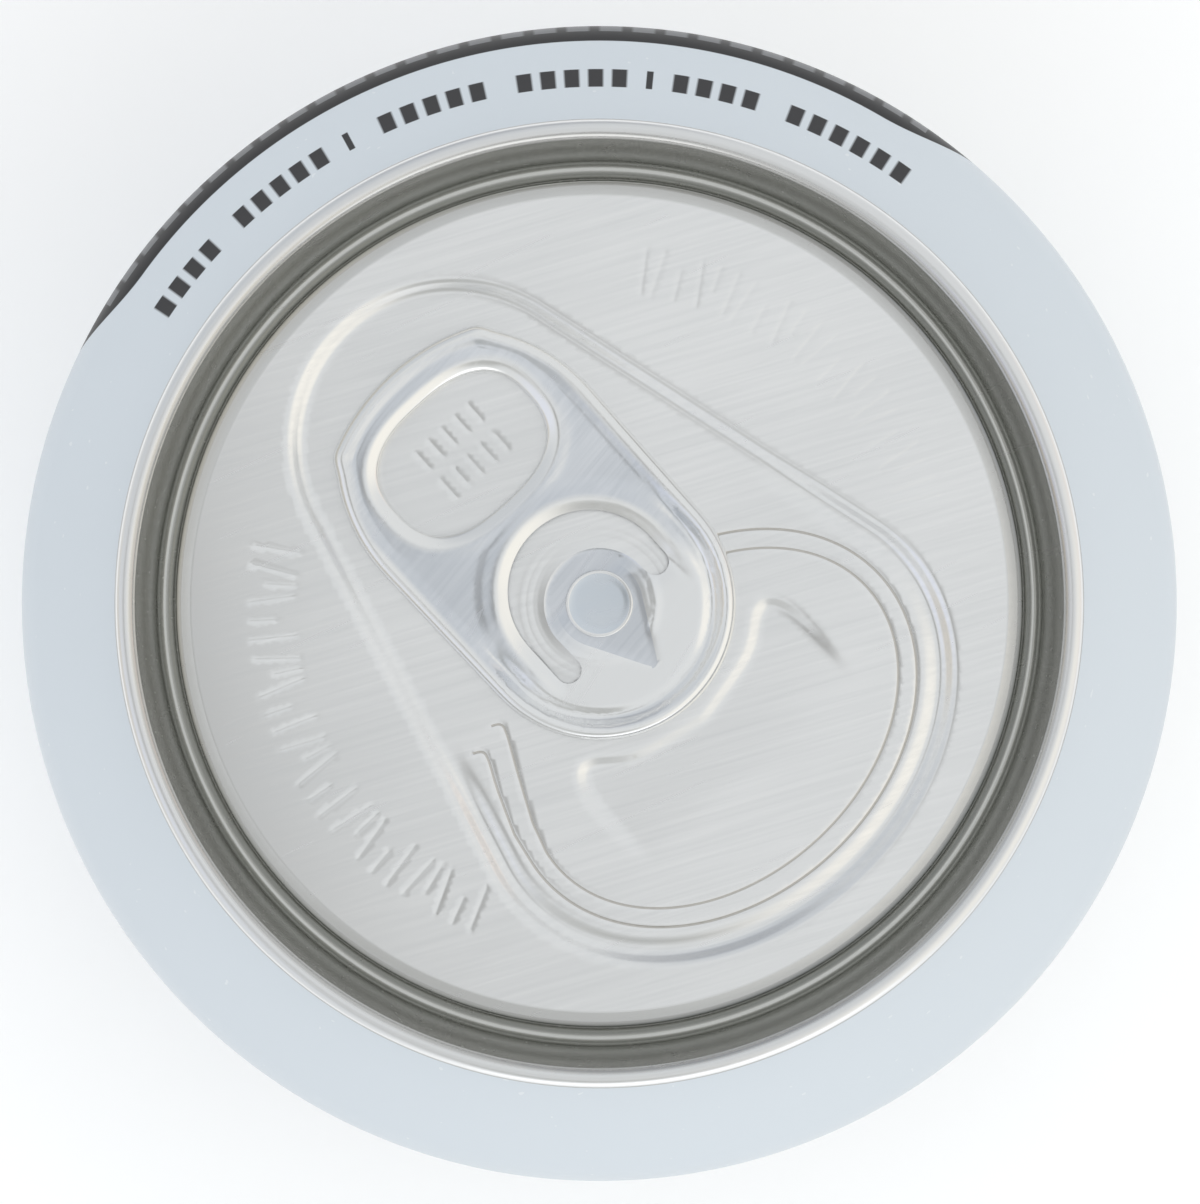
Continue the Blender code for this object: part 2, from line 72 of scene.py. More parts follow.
# Body
CAN_HEIGHT = CAD_BOX[1].z / MM
BODY_RADIUS = CAD_BOX[1].x / MM
BODY_SIDES = 288
SHARP_FROM = 50.0  # degrees between faces above which an edge is drawn sharp
STAND_INNER, STAND_OUTER = 23.8, 24.6  # the flat ring that the can stands on
STAND_BEND = 1.2
LEG_RADIUS = 22.6
LEG_BEND = 1.5
DOME_RADIUS, DOME_HEIGHT = 45.0, 10.5
HEEL_SLOPE, HEEL_BEND = 48.0, 7.0
SHOULDER_BEND = 6.0
NECK_SLOPE, NECK_BEND = 33.0, 4.0
NECK_RADIUS = 26.45
NECK_FOOT = 3.8  # below the rim
WALL_RINGS = 24

# End, with depths below the rim
END_SIDES = 384
SHEET = 0.22
NEST_GAP = 0.04
SEAM_OUTER = END_HIGH.x
SEAM_INNER, SEAM_LENGTH = 25.99, 2.5
CHUCK_SLOPE = 13.0
SINK_RADIUS, SINK_BEND, SINK_DEPTH = 24.5, 0.5, CAN_HEIGHT - END_LOW.z - SHEET
PANEL_RADIUS, PANEL_BEND = 23.9, 0.45
PANEL_BAND = (23.05, 23.5)  # the sloping band at the panel's edge
PANEL_DEPTH, BAND_DROP = 4.2, 0.12
PANEL_BULGE = 0.3  # how far the panel's edge lies below its middle
UNDERSIDE_DEPTH = 5.35
PANEL_SPACING, SCORE_SPACING = 0.26, 0.13  # between the points of its mesh, and along its tear lines

# Pressed relief of the panel
RECESS_DROP = 0.45
RECESS_WALL = 1.05
RECESS_TOP = (12.2, 8.4)  # y of the centre, and radius, of its round end under the tab
MOUTH_Y = -9.5  # centre of the oval round the mouth
GROOVE_HALF = (14.15, 10.9)
GROOVE_DROP, GROOVE_RISE = 0.2, 0.95
GROOVE_FADE = (0.0, -4.5)  # the groove starts at the first y and is full at the second
SCORE_ANGLES = (172, 414)  # where the oval part of each tear line starts and ends
# Outer and inner tear line: half size of its oval, depth, width, hook at its left, and end under the tab
SCORES = (
    ((12.75, 9.75), 0.035, 0.15,
     ((-10.95, -1.45), (-10.5, -1.75), (-10.55, -2.3), (-11.3, -3.9), (-12.3, -6.4)),
     ((7.2, -1.6), (5.0, -2.3), (2.5, -3.3), (-1.0, -3.8))),
    ((11.75, 8.6), 0.022, 0.14,
     ((-9.15, -1.0), (-8.7, -1.3), (-8.8, -1.9), (-9.8, -3.9), (-11.1, -6.6)),
     ((7.0, -2.55), (5.2, -3.1), (2.5, -4.3), (-1.0, -4.8))),
)
BEAD_DROP, BEAD_RAMP = 0.21, 0.8
BEAD_FADE = (-13.2, -6.6)  # the bead starts at the first y and is at full depth from the second
RAMP_BEND = 0.36  # share of a ramp's width over which it bends at each end
BEAD_EDGE = ((8.0, -14.0), (8.3, -10.0), (8.1, -7.3), (7.3, -6.0), (6.1, -6.0), (4.0, -7.4), (0.0, -8.35))
# Of the marks pressed into the panel, in turn: the radial span, and how far the foot lies aside of the head
TICK_SPANS = ((0, 2.5), (0, 2.5), (0.9, 2.5), (0, 2.5), (0, 1.4))
TICK_LEANS = (0.0, 0.35, 0.0, -0.35, 0.0)
TICK_LENGTH = TICK_SPANS[0][1]
TICK_DEPTH, TICK_WIDTH = 0.021, 0.16
TICK_ROWS = ((20.1, 40.0, -25.0, 22), (19.7, 128.0, 206.0, 26))  # outer radius, first and last angle, count
SMALL_TICK_ROWS = ((12.7, 1.1), (10.5, 1.1))  # y and length, seen through the finger hole
SMALL_TICKS_X = (-1.9, -0.9, 0.1, 1.1, 2.1)
COIN_LINES = (3.55, 3.95, 4.35)  # radii of the fine rings stamped round the rivet
COIN_LINE_RISE, COIN_LINE_WIDTH = 0.012, 0.3

# Rivet, with heights above the recess floor
RIVET_SIDES = 96
SHANK_RADIUS, HEAD_RADIUS = 1.35, 1.9
HEAD_BOTTOM, HEAD_TOP, HEAD_BEVEL, HEAD_DISH = 0.7, 1.32, 0.1, 0.07
HEAD_RIM_HIGHLIGHT = 0.16  # the width of the ring at the head's edge that keeps the sheet's brighter colour, a painted highlight
COIN_RADIUS, COIN_RISE, COIN_RAMP = 3.5, 0.06, 0.35

# Pull tab, with heights above the recess floor
TAB_SPACING = 0.17
TAB_NOSE_RADIUS = -TAB_LOW.y
TAB_HALF_WIDTH, TAB_WIDEST_Y, TAB_CORNER_RADIUS = 7.85, 9.5, 10.2
TAB_END_Y, TAB_END_RADIUS, TAB_END_HALF = TAB_HIGH.y, 12.7, 5.6
TAB_CORNER_BEND = 0.9  # the length over which the corners of the tab's outline are rounded
TAB_MIDDLE, TAB_TOP = 0.95, 1.54
# Of each rolled edge: the share of its rise at distances from the edge, and its width down to the sheet
CURL_RISE = ((0, 0), (0.05, 0.42), (0.13, 0.68), (0.25, 0.86), (0.38, 0.96), (0.52, 1.0))
CURL_WIDTH = 1.35
HOLE_RISE = ((0, 0), (0.04, 0.3), (0.1, 0.46), (0.22, 0.6), (0.4, 0.78), (0.56, 0.92), (0.72, 1.0))
HOLE_WIDTH = 1.6
WEB_TOP, WEB_SHEET = 1.34, 0.3
FINGER_HOLE = (0.0, 11.42, 4.95, 3.63, 2.6)  # centre x and y, half width and height, and squareness
FINGER_CURL_TOP = 1.46
TAB_CLEARANCE = 0.3
TAB_LIFT, LIFT_FROM, LIFT_OVER = 0.3, 4.0, 14.0
PLATE_TOP, PLATE_FROM, PLATE_TO = 0.98, 4.0, -0.5
LIT_NOSE_SPAN = (2.5, -1.5)  # the painted highlight on the tab's nose starts at the first y and is full below the second
DISH_DROP, DISH_WIDTH, DISH_FADE = 0.2, 0.6, (2.5, 0.0)
DISH_LEAST, DISH_SIDES = 0.25, (1.5, 4.5)  # share of its depth up to the first x; full from the second
ISLAND_TOP, ISLAND_RADIUS, ISLAND_HOLE = 0.66, 3.12, 1.65
ISLAND_LIP, ISLAND_LIP_WIDTH, ISLAND_BLEND = 0.05, 0.12, 0.5
ISLAND_POINT_Y, ISLAND_DISH, ISLAND_RAMP = -4.4, 2.15, 0.6
ISLAND_FLOOR = (0.90, 0.96)  # the height of the drawn-out point's ground at the rivet and at its tip
ISLAND_FADE = (-0.4, 1.4)  # level with the plate below the first y, and at its own height above the second
SLOT_CENTRE, SLOT_RADIUS, SLOT_END_RADIUS = (0.05, 0.85), 4.62, 0.75
SLOT_ENDS_Y = (-1.6, -0.4)  # of the left and the right end's round
# The bead round the slot: its height above the sheet at distances from the slot
RING = ((0, -0.03), (0.1, 0), (0.3, 0.08), (0.5, 0.15), (0.66, 0.185), (0.85, 0.18), (1.15, 0.12),
        (1.5, 0.04), (1.9, 0))
RING_FADE = (-2.8, -0.3)

Z_PANEL = CAN_HEIGHT - PANEL_DEPTH
Z_FLOOR = Z_PANEL - RECESS_DROP


def arc(x, y, radius, start, end, steps):
    """Points on a circle, from one angle to the other, in degrees."""
    angles = [math.radians(start + (end - start) * k / steps) for k in range(steps + 1)]
    return [(x + radius * math.cos(a), y + radius * math.sin(a)) for a in angles]


def mirrored(half):
    """A closed outline from its right half, which runs from its first point on x = 0 to its last."""
    left = [(-x, y) for x, y in reversed(half) if x > 1e-6]
    return list(half) + left


def spaced(points, step, closed=True):
    """Points an even step apart along an outline."""
    line = np.array(list(points) + ([points[0]] if closed else []), float)
    lengths = np.concatenate([[0], np.cumsum(np.hypot(*np.diff(line, axis=0).T))])
    count = max(3, round(lengths[-1] / step))
    stops = np.linspace(0, lengths[-1], count + 1)
    even = np.stack([np.interp(stops, lengths, line[:, k]) for k in (0, 1)], axis=1)
    return [tuple(p) for p in (even[:-1] if closed else even)]


def smooth_curve(points, steps=24):
    """A curve through the points, by Catmull and Rom's rule."""
    p = [np.array(q, float) for q in (points[0], *points, points[-1])]
    curve = []
    for a, b, c, d in zip(p, p[1:], p[2:], p[3:]):
        for k in range(steps):
            t = k / steps
            bend = 2 * a - 5 * b + 4 * c - d + (3 * (b - c) + d - a) * t
            curve.append(tuple(b + 0.5 * t * (c - a + t * bend)))
    return curve + [tuple(p[-1])]


def curve_at(points, places):
    """The height, at some places, of a smooth curve through points of rising place."""
    xs, ys = np.array(smooth_curve(points)).T
    return np.interp(places, xs, ys)


def softened(line, length, step):
    """A closed outline of even steps whose corners are rounded over a length."""
    p = np.array(line)
    reach = round(length / 2 / step)
    return [tuple(q) for q in sum(np.roll(p, k, axis=0) for k in range(-reach, reach + 1)) / (2 * reach + 1)]


def stretches(line, kept):
    """The parts of a closed outline whose points are kept, each as an open line."""
    first = kept.index(False)
    found, current = [], []
    for k in range(first, first + len(line) + 1):
        if kept[k % len(line)]:
            current.append(line[k % len(line)])
        else:
            found.append((current, False))
            current = []
    return [(part, closed) for part, closed in found if len(part) > 1]


def in_chunks(rule, points, size=3000):
    """The rule's values at many points, worked out for a few thousand at a time."""
    return np.concatenate([rule(points[k:k + size]) for k in range(0, len(points), size)])


def distance(points, line, closed=True):
    """The distance from each point to an outline."""
    ends = np.array(list(line) + ([line[0]] if closed else []), float)
    start, run = ends[:-1], np.diff(ends, axis=0)
    length = (run**2).sum(-1)

    def nearest(some):
        offset = some[:, None, :] - start
        share = ((offset * run).sum(-1) / length).clip(0, 1)
        return np.sqrt(((offset - share[..., None] * run) ** 2).sum(-1).min(1))

    return in_chunks(nearest, points)


def inside(points, outline):
    """True for each point within a closed outline."""
    a = np.array(outline, float)
    b = np.roll(a, -1, axis=0)
    rise = np.where(b[:, 1] == a[:, 1], 1.0, b[:, 1] - a[:, 1])

    def within(some):
        x, y = some[:, :1], some[:, 1:]
        spans = (a[:, 1] > y) != (b[:, 1] > y)
        crosses = x < a[:, 0] + (y - a[:, 1]) / rise * (b[:, 0] - a[:, 0])
        return (spans & crosses).sum(1) % 2 == 1

    return in_chunks(within, points)


def depth_within(points, outline):
    """The distance to a closed outline, positive inside it."""
    return distance(points, outline) * np.where(inside(points, outline), 1, -1)


def ease(value, start, end):
    """A smooth step from 0 at start to 1 at end."""
    t = ((value - start) / (end - start)).clip(0, 1)
    return t * t * (3 - 2 * t)


def ramp(value, start, end, bend=RAMP_BEND):
    """A straight ramp from 0 at start to 1 at end that bends smoothly at both ends."""
    t = ((value - start) / (end - start)).clip(0, 1)
    low, high = t**2 / 2 / bend, (1 - t) ** 2 / 2 / bend
    return np.where(t < bend, low, np.where(t > 1 - bend, 1 - bend - high, t - bend / 2)) / (1 - bend)


def hull_of(round_y, radius, oval_y, half, grow, steps=288):
    """The outline, grown outwards, of a band stretched round a circle and an oval, both centred on x = 0."""
    radius, a, b = radius + grow, half[0] + grow, half[1] + grow
    outline = []
    for k in range(steps):
        turn = math.pi / 2 - 2 * math.pi * k / steps
        c, s = math.cos(turn), math.sin(turn)
        reach = math.hypot(a * c, b * s)
        if round_y * s + radius > oval_y * s + reach:
            outline.append((radius * c, round_y + radius * s))
        else:
            outline.append((a * a * c / reach, oval_y + b * b * s / reach))
    return outline


def superellipse(x, y, half_x, half_y, power, grow=0.0, steps=144):
    """A rounded box-like outline, grown outwards."""
    outline = []
    for k in range(steps):
        turn = 2 * math.pi * k / steps
        c, s = math.cos(turn), math.sin(turn)
        across = math.copysign(abs(c) ** (2 / power), c) * (half_x + grow)
        along = math.copysign(abs(s) ** (2 / power), s) * (half_y + grow)
        outline.append((x + across, y + along))
    return outline


def recess_line(grow=0.0):
    """The foot of the recess wall and, round the mouth, the bottom of the groove."""
    return spaced(hull_of(*RECESS_TOP, MOUTH_Y, GROOVE_HALF, grow), PANEL_SPACING)


def tear_lines():
    """Each open tear line, from its hook round the mouth to its end under the tab, with depth and width."""
    for half, depth, width, hook, under_tab in SCORES:
        oval = [(half[0] * x, MOUTH_Y + half[1] * y) for x, y in arc(0, 0, 1, *SCORE_ANGLES, 200)]
        line = smooth_curve(hook) + oval + smooth_curve(under_tab)
        yield spaced(line, SCORE_SPACING, closed=False), depth, width


def bead_line():
    """The edge of the shallow bead pressed into the tear panel below the tab's nose."""
    half = smooth_curve(BEAD_EDGE)
    return spaced(mirrored(half[::-1]), PANEL_SPACING)


def rounded_slot():
    """The C-shaped slot of the tab round the rivet, from its right end over the top to its left end."""
    x, y = SLOT_CENTRE
    left, right = SLOT_ENDS_Y
    left_x = x - SLOT_RADIUS + SLOT_END_RADIUS
    right_x = x + SLOT_RADIUS - SLOT_END_RADIUS
    outer = arc(x, y, SLOT_RADIUS, 0, 180, 88)
    left_end = arc(left_x, left, SLOT_END_RADIUS, 180, 360, 32)
    island = arc(0, 0, ISLAND_RADIUS, 175, 5, 72)
    right_end = arc(right_x, right, SLOT_END_RADIUS, 180, 360, 32)
    return spaced(outer + left_end + island + right_end, TAB_SPACING)


def tab_outline():
    """The tab's edge: a round nose about the rivet, nearly straight sides, and a blunt finger end."""
    corner_x = TAB_HALF_WIDTH - TAB_CORNER_RADIUS
    blunt = math.degrees(math.acos(TAB_END_HALF / TAB_END_RADIUS))
    end = arc(0, TAB_END_Y - TAB_END_RADIUS, TAB_END_RADIUS, 90, blunt, 30)
    corner = arc(corner_x, TAB_WIDEST_Y, TAB_CORNER_RADIUS, 36, 0, 36)
    nose = arc(0, 0, TAB_NOSE_RADIUS, 0, -90, 96)
    return softened(spaced(mirrored(end + corner + nose), TAB_SPACING), TAB_CORNER_BEND, TAB_SPACING)


def finger_hole(grow=0.0):
    return spaced(superellipse(*FINGER_HOLE, grow), TAB_SPACING)


def island_dish():
    """The low ground of the island: a disc about the rivet drawn out to a point towards the nose."""
    reach = math.degrees(math.acos(ISLAND_DISH / -ISLAND_POINT_Y))
    return arc(0, 0, ISLAND_DISH, -90 + reach, 270 - reach, 90) + [(0, ISLAND_POINT_Y)]


def offset(line, by, closed=True):
    """A copy of an outline moved to its left by a distance."""
    p = np.array(line, float)
    if closed:
        along = np.roll(p, -1, axis=0) - np.roll(p, 1, axis=0)
    else:
        along = np.gradient(p, axis=0)
    along /= np.hypot(*along.T)[:, None]
    return [tuple(q) for q in p + by * np.stack([-along[:, 1], along[:, 0]], axis=1)]


def crease(away, width):
    """A round-bottomed groove or ridge: 1 on its line and 0 beyond half its width."""
    return ease(away, width / 2, 0)


def ticks():
    """Short plain marks in two arcs on the panel and in two rows below the finger hole, as pairs of ends."""
    marks = []
    for outer, start, end, count in TICK_ROWS:
        for k in range(count):
            turn = math.radians(start + (end - start) * k / (count - 1))
            span, lean = TICK_SPANS[k % len(TICK_SPANS)], TICK_LEANS[k % len(TICK_LEANS)]
            ends = [(outer - depth, lean * depth / TICK_LENGTH) for depth in span]
            c, s = math.cos(turn), math.sin(turn)
            marks.append([(r * c - aside * s, r * s + aside * c) for r, aside in ends])
    for y, length in SMALL_TICK_ROWS:
        marks += [[(x, y - length / 2), (x, y + length / 2)] for x in SMALL_TICKS_X]
    return marks


def panel_height(points):
    """The height of the panel's upper face at each point."""
    x, y = points.T
    radius = np.hypot(x, y)
    within = depth_within(points, recess_line())
    groove = GROOVE_DROP * ease(y, *GROOVE_FADE)
    wall = -(RECESS_DROP + groove) * ramp(within, -RECESS_WALL, 0)
    rise = groove * ramp(within, 0, GROOVE_RISE)
    bead = BEAD_DROP * ramp(depth_within(points, bead_line()), 0, BEAD_RAMP) * ease(y, *BEAD_FADE)
    coin = COIN_RISE * ease(radius, COIN_RADIUS, COIN_RADIUS - COIN_RAMP)
    for line_radius in COIN_LINES:
        coin = coin + COIN_LINE_RISE * crease(np.abs(radius - line_radius), COIN_LINE_WIDTH)
    height = wall + rise - bead + coin - PANEL_BULGE * (radius / PANEL_BAND[0]) ** 4
    for line, depth, width in tear_lines():
        height -= depth * crease(distance(points, line, closed=False), width)
    for mark in ticks():
        near = (np.abs(points - np.mean(mark, axis=0)) < TICK_LENGTH).all(1)
        height[near] -= TICK_DEPTH * crease(distance(points[near], mark, closed=False), TICK_WIDTH)
    return Z_PANEL + height


def rolled(points, sheet, edge_peak, hole_peak):
    """A face of the tab: its sheet, with rolls along the outer edge and round the finger hole."""
    face = sheet
    edge = depth_within(points, tab_outline()), edge_peak, CURL_RISE, CURL_WIDTH
    hole = -depth_within(points, finger_hole()), hole_peak, HOLE_RISE, HOLE_WIDTH
    for within, peak, rise, width in (edge, hole):
        crest = rise[-1][0]
        outer = TAB_MIDDLE + (peak - TAB_MIDDLE) * curve_at(rise, within)
        past = peak + (face - peak) * ease(within, crest, width)
        face = np.where(within < crest, outer, past)
    return face + TAB_LIFT * ease(points[:, 1], LIFT_FROM, LIFT_FROM + LIFT_OVER)


def tab_sheet(points):
    """The height of the tab's plain sheet between its rolled edges."""
    y = points[:, 1]
    plate = WEB_TOP + (PLATE_TOP - WEB_TOP) * ease(y, PLATE_FROM, PLATE_TO)
    nose = depth_within(points, tab_outline())
    dish = DISH_DROP * ease(nose, CURL_WIDTH + DISH_WIDTH, CURL_WIDTH) * ease(y, *DISH_FADE)
    plate = plate - dish * (DISH_LEAST + (1 - DISH_LEAST) * ease(np.abs(points[:, 0]), *DISH_SIDES))
    radius = np.hypot(*points.T)
    low, high = ISLAND_FLOOR
    ground = low + (high - low) * ease(radius, ISLAND_HOLE, -ISLAND_POINT_Y)
    island = ISLAND_TOP + (plate - ISLAND_TOP) * ease(y, *ISLAND_FADE[::-1])
    island = island + ISLAND_LIP * ease(radius, ISLAND_RADIUS - ISLAND_LIP_WIDTH, ISLAND_RADIUS)
    sheet = plate + (island - plate) * ease(radius, ISLAND_RADIUS + ISLAND_BLEND, ISLAND_RADIUS)
    ground = np.minimum(sheet, ground)
    return sheet + (ground - sheet) * ease(depth_within(points, island_dish()), -ISLAND_RAMP, 0)


def slot_ring(points):
    """How far the bead round the slot stands above the sheet."""
    x, y = points.T
    out = np.hypot(x - SLOT_CENTRE[0], (y - SLOT_CENTRE[1]).clip(0)) - SLOT_RADIUS
    return np.where(out > -TAB_SPACING, curve_at(RING, out), 0) * ease(y, *RING_FADE)


def tab_top(points):
    """The height of the tab's upper face."""
    return Z_FLOOR + rolled(points, tab_sheet(points) + slot_ring(points), TAB_TOP, FINGER_CURL_TOP)


def tab_bottom(points):
    """The height of the tab's lower face."""
    lower_roll = 2 * TAB_MIDDLE - FINGER_CURL_TOP
    return Z_FLOOR + rolled(points, tab_sheet(points) - WEB_SHEET, TAB_CLEARANCE, lower_roll)


def add_object(name, data):
    """An object of the scene that holds a mesh, a camera or a lamp."""
    made = bpy.data.objects.new(name, data)
    bpy.context.scene.collection.objects.link(made)
    return made


class Form:
    """The points and faces of one closed piece."""

    def __init__(self):
        self.points = []
        self.faces = []

    def add(self, outline, heights):
        """New points along an outline, and their numbers."""
        first = len(self.points)
        self.points += [(x, y, z) for (x, y), z in zip(outline, heights)]
        return list(range(first, len(self.points)))

    def ring(self, radius, height, sides):
        return self.add(arc(0, 0, radius, 0, 360, sides)[:-1], [height] * sides)

    def join(self, first, second):
        """Faces between two rings, of which the second is above the first or within it."""
        for k in range(len(first)):
            after = (k + 1) % len(first)
            self.faces.append((first[k], first[after], second[after], second[k]))

    def turn(self, profile, sides, last):
        """Joins a ring for each radius and height of a profile to the one before, and returns the last."""
        for radius, height in profile:
            new = self.ring(radius, height, sides)
            self.join(last, new)
            last = new
        return last

    def fan(self, rim, height, upwards):
        """Closes a level ring with triangles round a middle point."""
        middle = self.add([(0, 0)], [height])[0]
        for k in range(len(rim)):
            pair = (rim[k], rim[(k + 1) % len(rim)])
            self.faces.append((middle, *(pair if upwards else pair[::-1])))

    def fill(self, borders, lines, spacing, height, upwards=True):
        """Fills between closed borders, the outer one first, with a fine face that takes its height from a
        function and has an edge along each line."""
        # A Vector holds less than Python's floats, so the borders are rounded as the filled points will be
        outlines = [[tuple(Vector(self.points[k][:2])) for k in border] for border in borders]
        shared = [k for border in borders for k in border]
        coords, edges = [], []
        for line, closed in [(outline, True) for outline in outlines] + lines:
            start = len(coords)
            coords += line
            edges += [(start + k, start + k + 1) for k in range(len(line) - 1)]
            if closed:
                edges.append((start + len(line) - 1, start))
        coords += seeds(coords, outlines[0], spacing)
        found, _, faces, sources, _, _ = delaunay_2d_cdt([Vector(p) for p in coords], edges, [], 0, 1e-6)
        flat = np.array([tuple(v) for v in found])
        faces = np.array(faces)
        middles = flat[faces].mean(1)
        keep = inside(middles, outlines[0])
        for hole in outlines[1:]:
            keep &= ~inside(middles, hole)
        faces = faces[keep]
        used = np.unique(faces)
        numbers = np.full(len(flat), -1)
        fresh = []
        for k in used:
            known = [s for s in sources[k] if s < len(shared)]
            if known:
                numbers[k] = shared[known[0]]
            else:
                fresh.append(k)
        numbers[fresh] = self.add(flat[fresh], height(flat[fresh]))
        faces = numbers[faces if upwards else faces[:, ::-1]]
        self.faces += [tuple(face) for face in faces]

    def finish(self, name, node, materials, choose=None):
        """Makes the object, which stands for a CAD node and takes its finish from a slot. The rule, if any,
        gives each face's material by the face's middle."""
        mesh = bpy.data.meshes.new(name)
        mesh.from_pydata(np.array(self.points) * MM, [], self.faces)
        mesh.validate()
        mesh.shade_smooth()
        mesh.set_sharp_from_angle(angle=math.radians(SHARP_FROM))
        for material in materials:
            mesh.materials.append(material)
        if choose:
            middles = np.array([polygon.center for polygon in mesh.polygons]) / MM
            mesh.polygons.foreach_set("material_index", choose(middles).astype(np.int32))
        piece = add_object(name, mesh)
        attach(piece, "root")
        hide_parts(node)


def seeds(taken, outline, spacing, clear=0.6):
    """Points of an even triangular grid that keep clear of the points taken already."""
    tree = KDTree(len(taken))
    for k, (x, y) in enumerate(taken):
        tree.insert((x, y, 0), k)
    tree.balance()
    low, high = np.min(outline, axis=0), np.max(outline, axis=0)
    row_height = spacing * math.sqrt(3) / 2
    grid = []
    for row, y in enumerate(np.arange(low[1], high[1], row_height)):
        shift = spacing / 2 * (row % 2)
        grid += [(x, y) for x in np.arange(low[0] + shift, high[0], spacing)]
    free = [p for p in grid if tree.find((*p, 0))[2] > clear * spacing]
    within = inside(np.array(free), outline)
    return [p for p, kept in zip(free, within) if kept]


def chuck_wall():
    """The foot and the top of the wall that rises from the countersink to the seam, as radius and depth."""
    slope = math.radians(CHUCK_SLOPE)
    foot = SINK_RADIUS + SINK_BEND * math.cos(slope)
    foot_depth = SINK_DEPTH - SINK_BEND + SINK_BEND * math.sin(slope)
    top = foot + (foot_depth - SEAM_LENGTH) * math.tan(slope)
    return (foot, foot_depth), (top, SEAM_LENGTH)


def shoulder_centre():
    """The radius and height of the centre of the shoulder's bend."""
    slope = math.radians(NECK_SLOPE)
    radius = BODY_RADIUS - SHOULDER_BEND
    neck_radius = NECK_RADIUS + NECK_BEND * (1 - math.cos(slope))
    neck_height = CAN_HEIGHT - NECK_FOOT - NECK_BEND * math.sin(slope)
    run = radius + SHOULDER_BEND * math.cos(slope) - neck_radius
    return radius, neck_height - run / math.tan(slope) - SHOULDER_BEND * math.sin(slope)


def body_profile():
    """Radii and heights of the body, from the dome's middle out, up and back to the top's middle."""
    bend_x = LEG_RADIUS - LEG_BEND
    tilt = math.asin(bend_x / (DOME_RADIUS - LEG_BEND))
    dome_y = DOME_HEIGHT - DOME_RADIUS
    bend_y = dome_y + (DOME_RADIUS - LEG_BEND) * math.cos(tilt)
    tilt = math.degrees(tilt)
    dome = arc(0, dome_y, DOME_RADIUS, 90, 90 - tilt, 24)[1:]
    leg = arc(bend_x, bend_y, LEG_BEND, 90 - tilt, 0, 8)[1:]
    inner = arc(STAND_INNER, STAND_BEND, STAND_BEND, 180, 270, 8)
    outer = arc(STAND_OUTER, STAND_BEND, STAND_BEND, 270, 270 + HEEL_SLOPE, 6)
    heel_x = BODY_RADIUS - HEEL_BEND
    slope = math.radians(HEEL_SLOPE)
    run = heel_x + HEEL_BEND * math.sin(slope) - outer[-1][0]
    heel_y = outer[-1][1] + run * math.tan(slope) + HEEL_BEND * math.cos(slope)
    heel = arc(heel_x, heel_y, HEEL_BEND, HEEL_SLOPE - 90, 0, 12)
    shoulder_x, shoulder_y = shoulder_centre()
    wall = [(BODY_RADIUS, z) for z in np.linspace(heel_y, shoulder_y, WALL_RINGS + 1)[1:-1]]
    shoulder = arc(shoulder_x, shoulder_y, SHOULDER_BEND, 0, NECK_SLOPE, 16)
    neck_y = CAN_HEIGHT - NECK_FOOT
    neck = arc(NECK_RADIUS + NECK_BEND, neck_y, NECK_BEND, 180 + NECK_SLOPE, 180, 8)
    return dome + leg + inner + outer + heel + wall + shoulder + neck + nest_profile()


def nest_profile():
    """Radii and heights of the body's top, which follows the end's lower face."""
    top, top_depth = chuck_wall()[1]
    slope = math.radians(CHUCK_SLOPE)
    aside = (SHEET + NEST_GAP) / math.cos(slope)
    rim_depth = top_depth + NEST_GAP
    rim = top + aside - NEST_GAP * math.tan(slope)
    side = SINK_BEND + SHEET + NEST_GAP
    bend = arc(SINK_RADIUS, SINK_BEND - SINK_DEPTH, side, -CHUCK_SLOPE, -180, 16)
    floor = -UNDERSIDE_DEPTH - NEST_GAP
    profile = [(NECK_RADIUS, -rim_depth), (rim, -rim_depth)] + bend + [(SINK_RADIUS - side, floor)]
    return [(radius, CAN_HEIGHT + depth) for radius, depth in profile]


def end_profile():
    """Radii and heights of the end, from the panel's edge over the seam and back along its lower face."""
    top, top_depth = chuck_wall()[1]
    edge_depth = PANEL_DEPTH + PANEL_BULGE
    bend_depth = SINK_DEPTH - SINK_BEND
    band_run = PANEL_BAND[1] - PANEL_BAND[0]
    band = [(PANEL_BAND[0] + band_run * t, -edge_depth - BAND_DROP * t) for t in (0.33, 0.67)]
    edge_bend = -edge_depth - BAND_DROP - PANEL_BEND
    edge = arc(PANEL_RADIUS - PANEL_BEND, edge_bend, PANEL_BEND, 80, 0, 10)
    sink = arc(SINK_RADIUS, -bend_depth, SINK_BEND, 180, 360 - CHUCK_SLOPE, 20)
    roll = (SEAM_OUTER - SEAM_INNER) / 2
    seam = arc(SEAM_OUTER - roll, -roll, roll, 180, 0, 20)
    foot, foot_depth = chuck_wall()[0]
    rise = foot_depth - top_depth
    wall = [(foot + (top - foot) * t, -foot_depth + rise * t) for t in (0.25, 0.5, 0.75, 1)]
    aside = SHEET / math.cos(math.radians(CHUCK_SLOPE))
    below = [(SEAM_OUTER, -SEAM_LENGTH), (top + aside, -SEAM_LENGTH)]
    under = arc(SINK_RADIUS, -bend_depth, SINK_BEND + SHEET, -CHUCK_SLOPE, -180, 12)
    inner = [(SINK_RADIUS - SINK_BEND - SHEET, -UNDERSIDE_DEPTH)]
    profile = band + edge + sink + wall + seam + below + under + inner
    return [(radius, CAN_HEIGHT + depth) for radius, depth in profile]


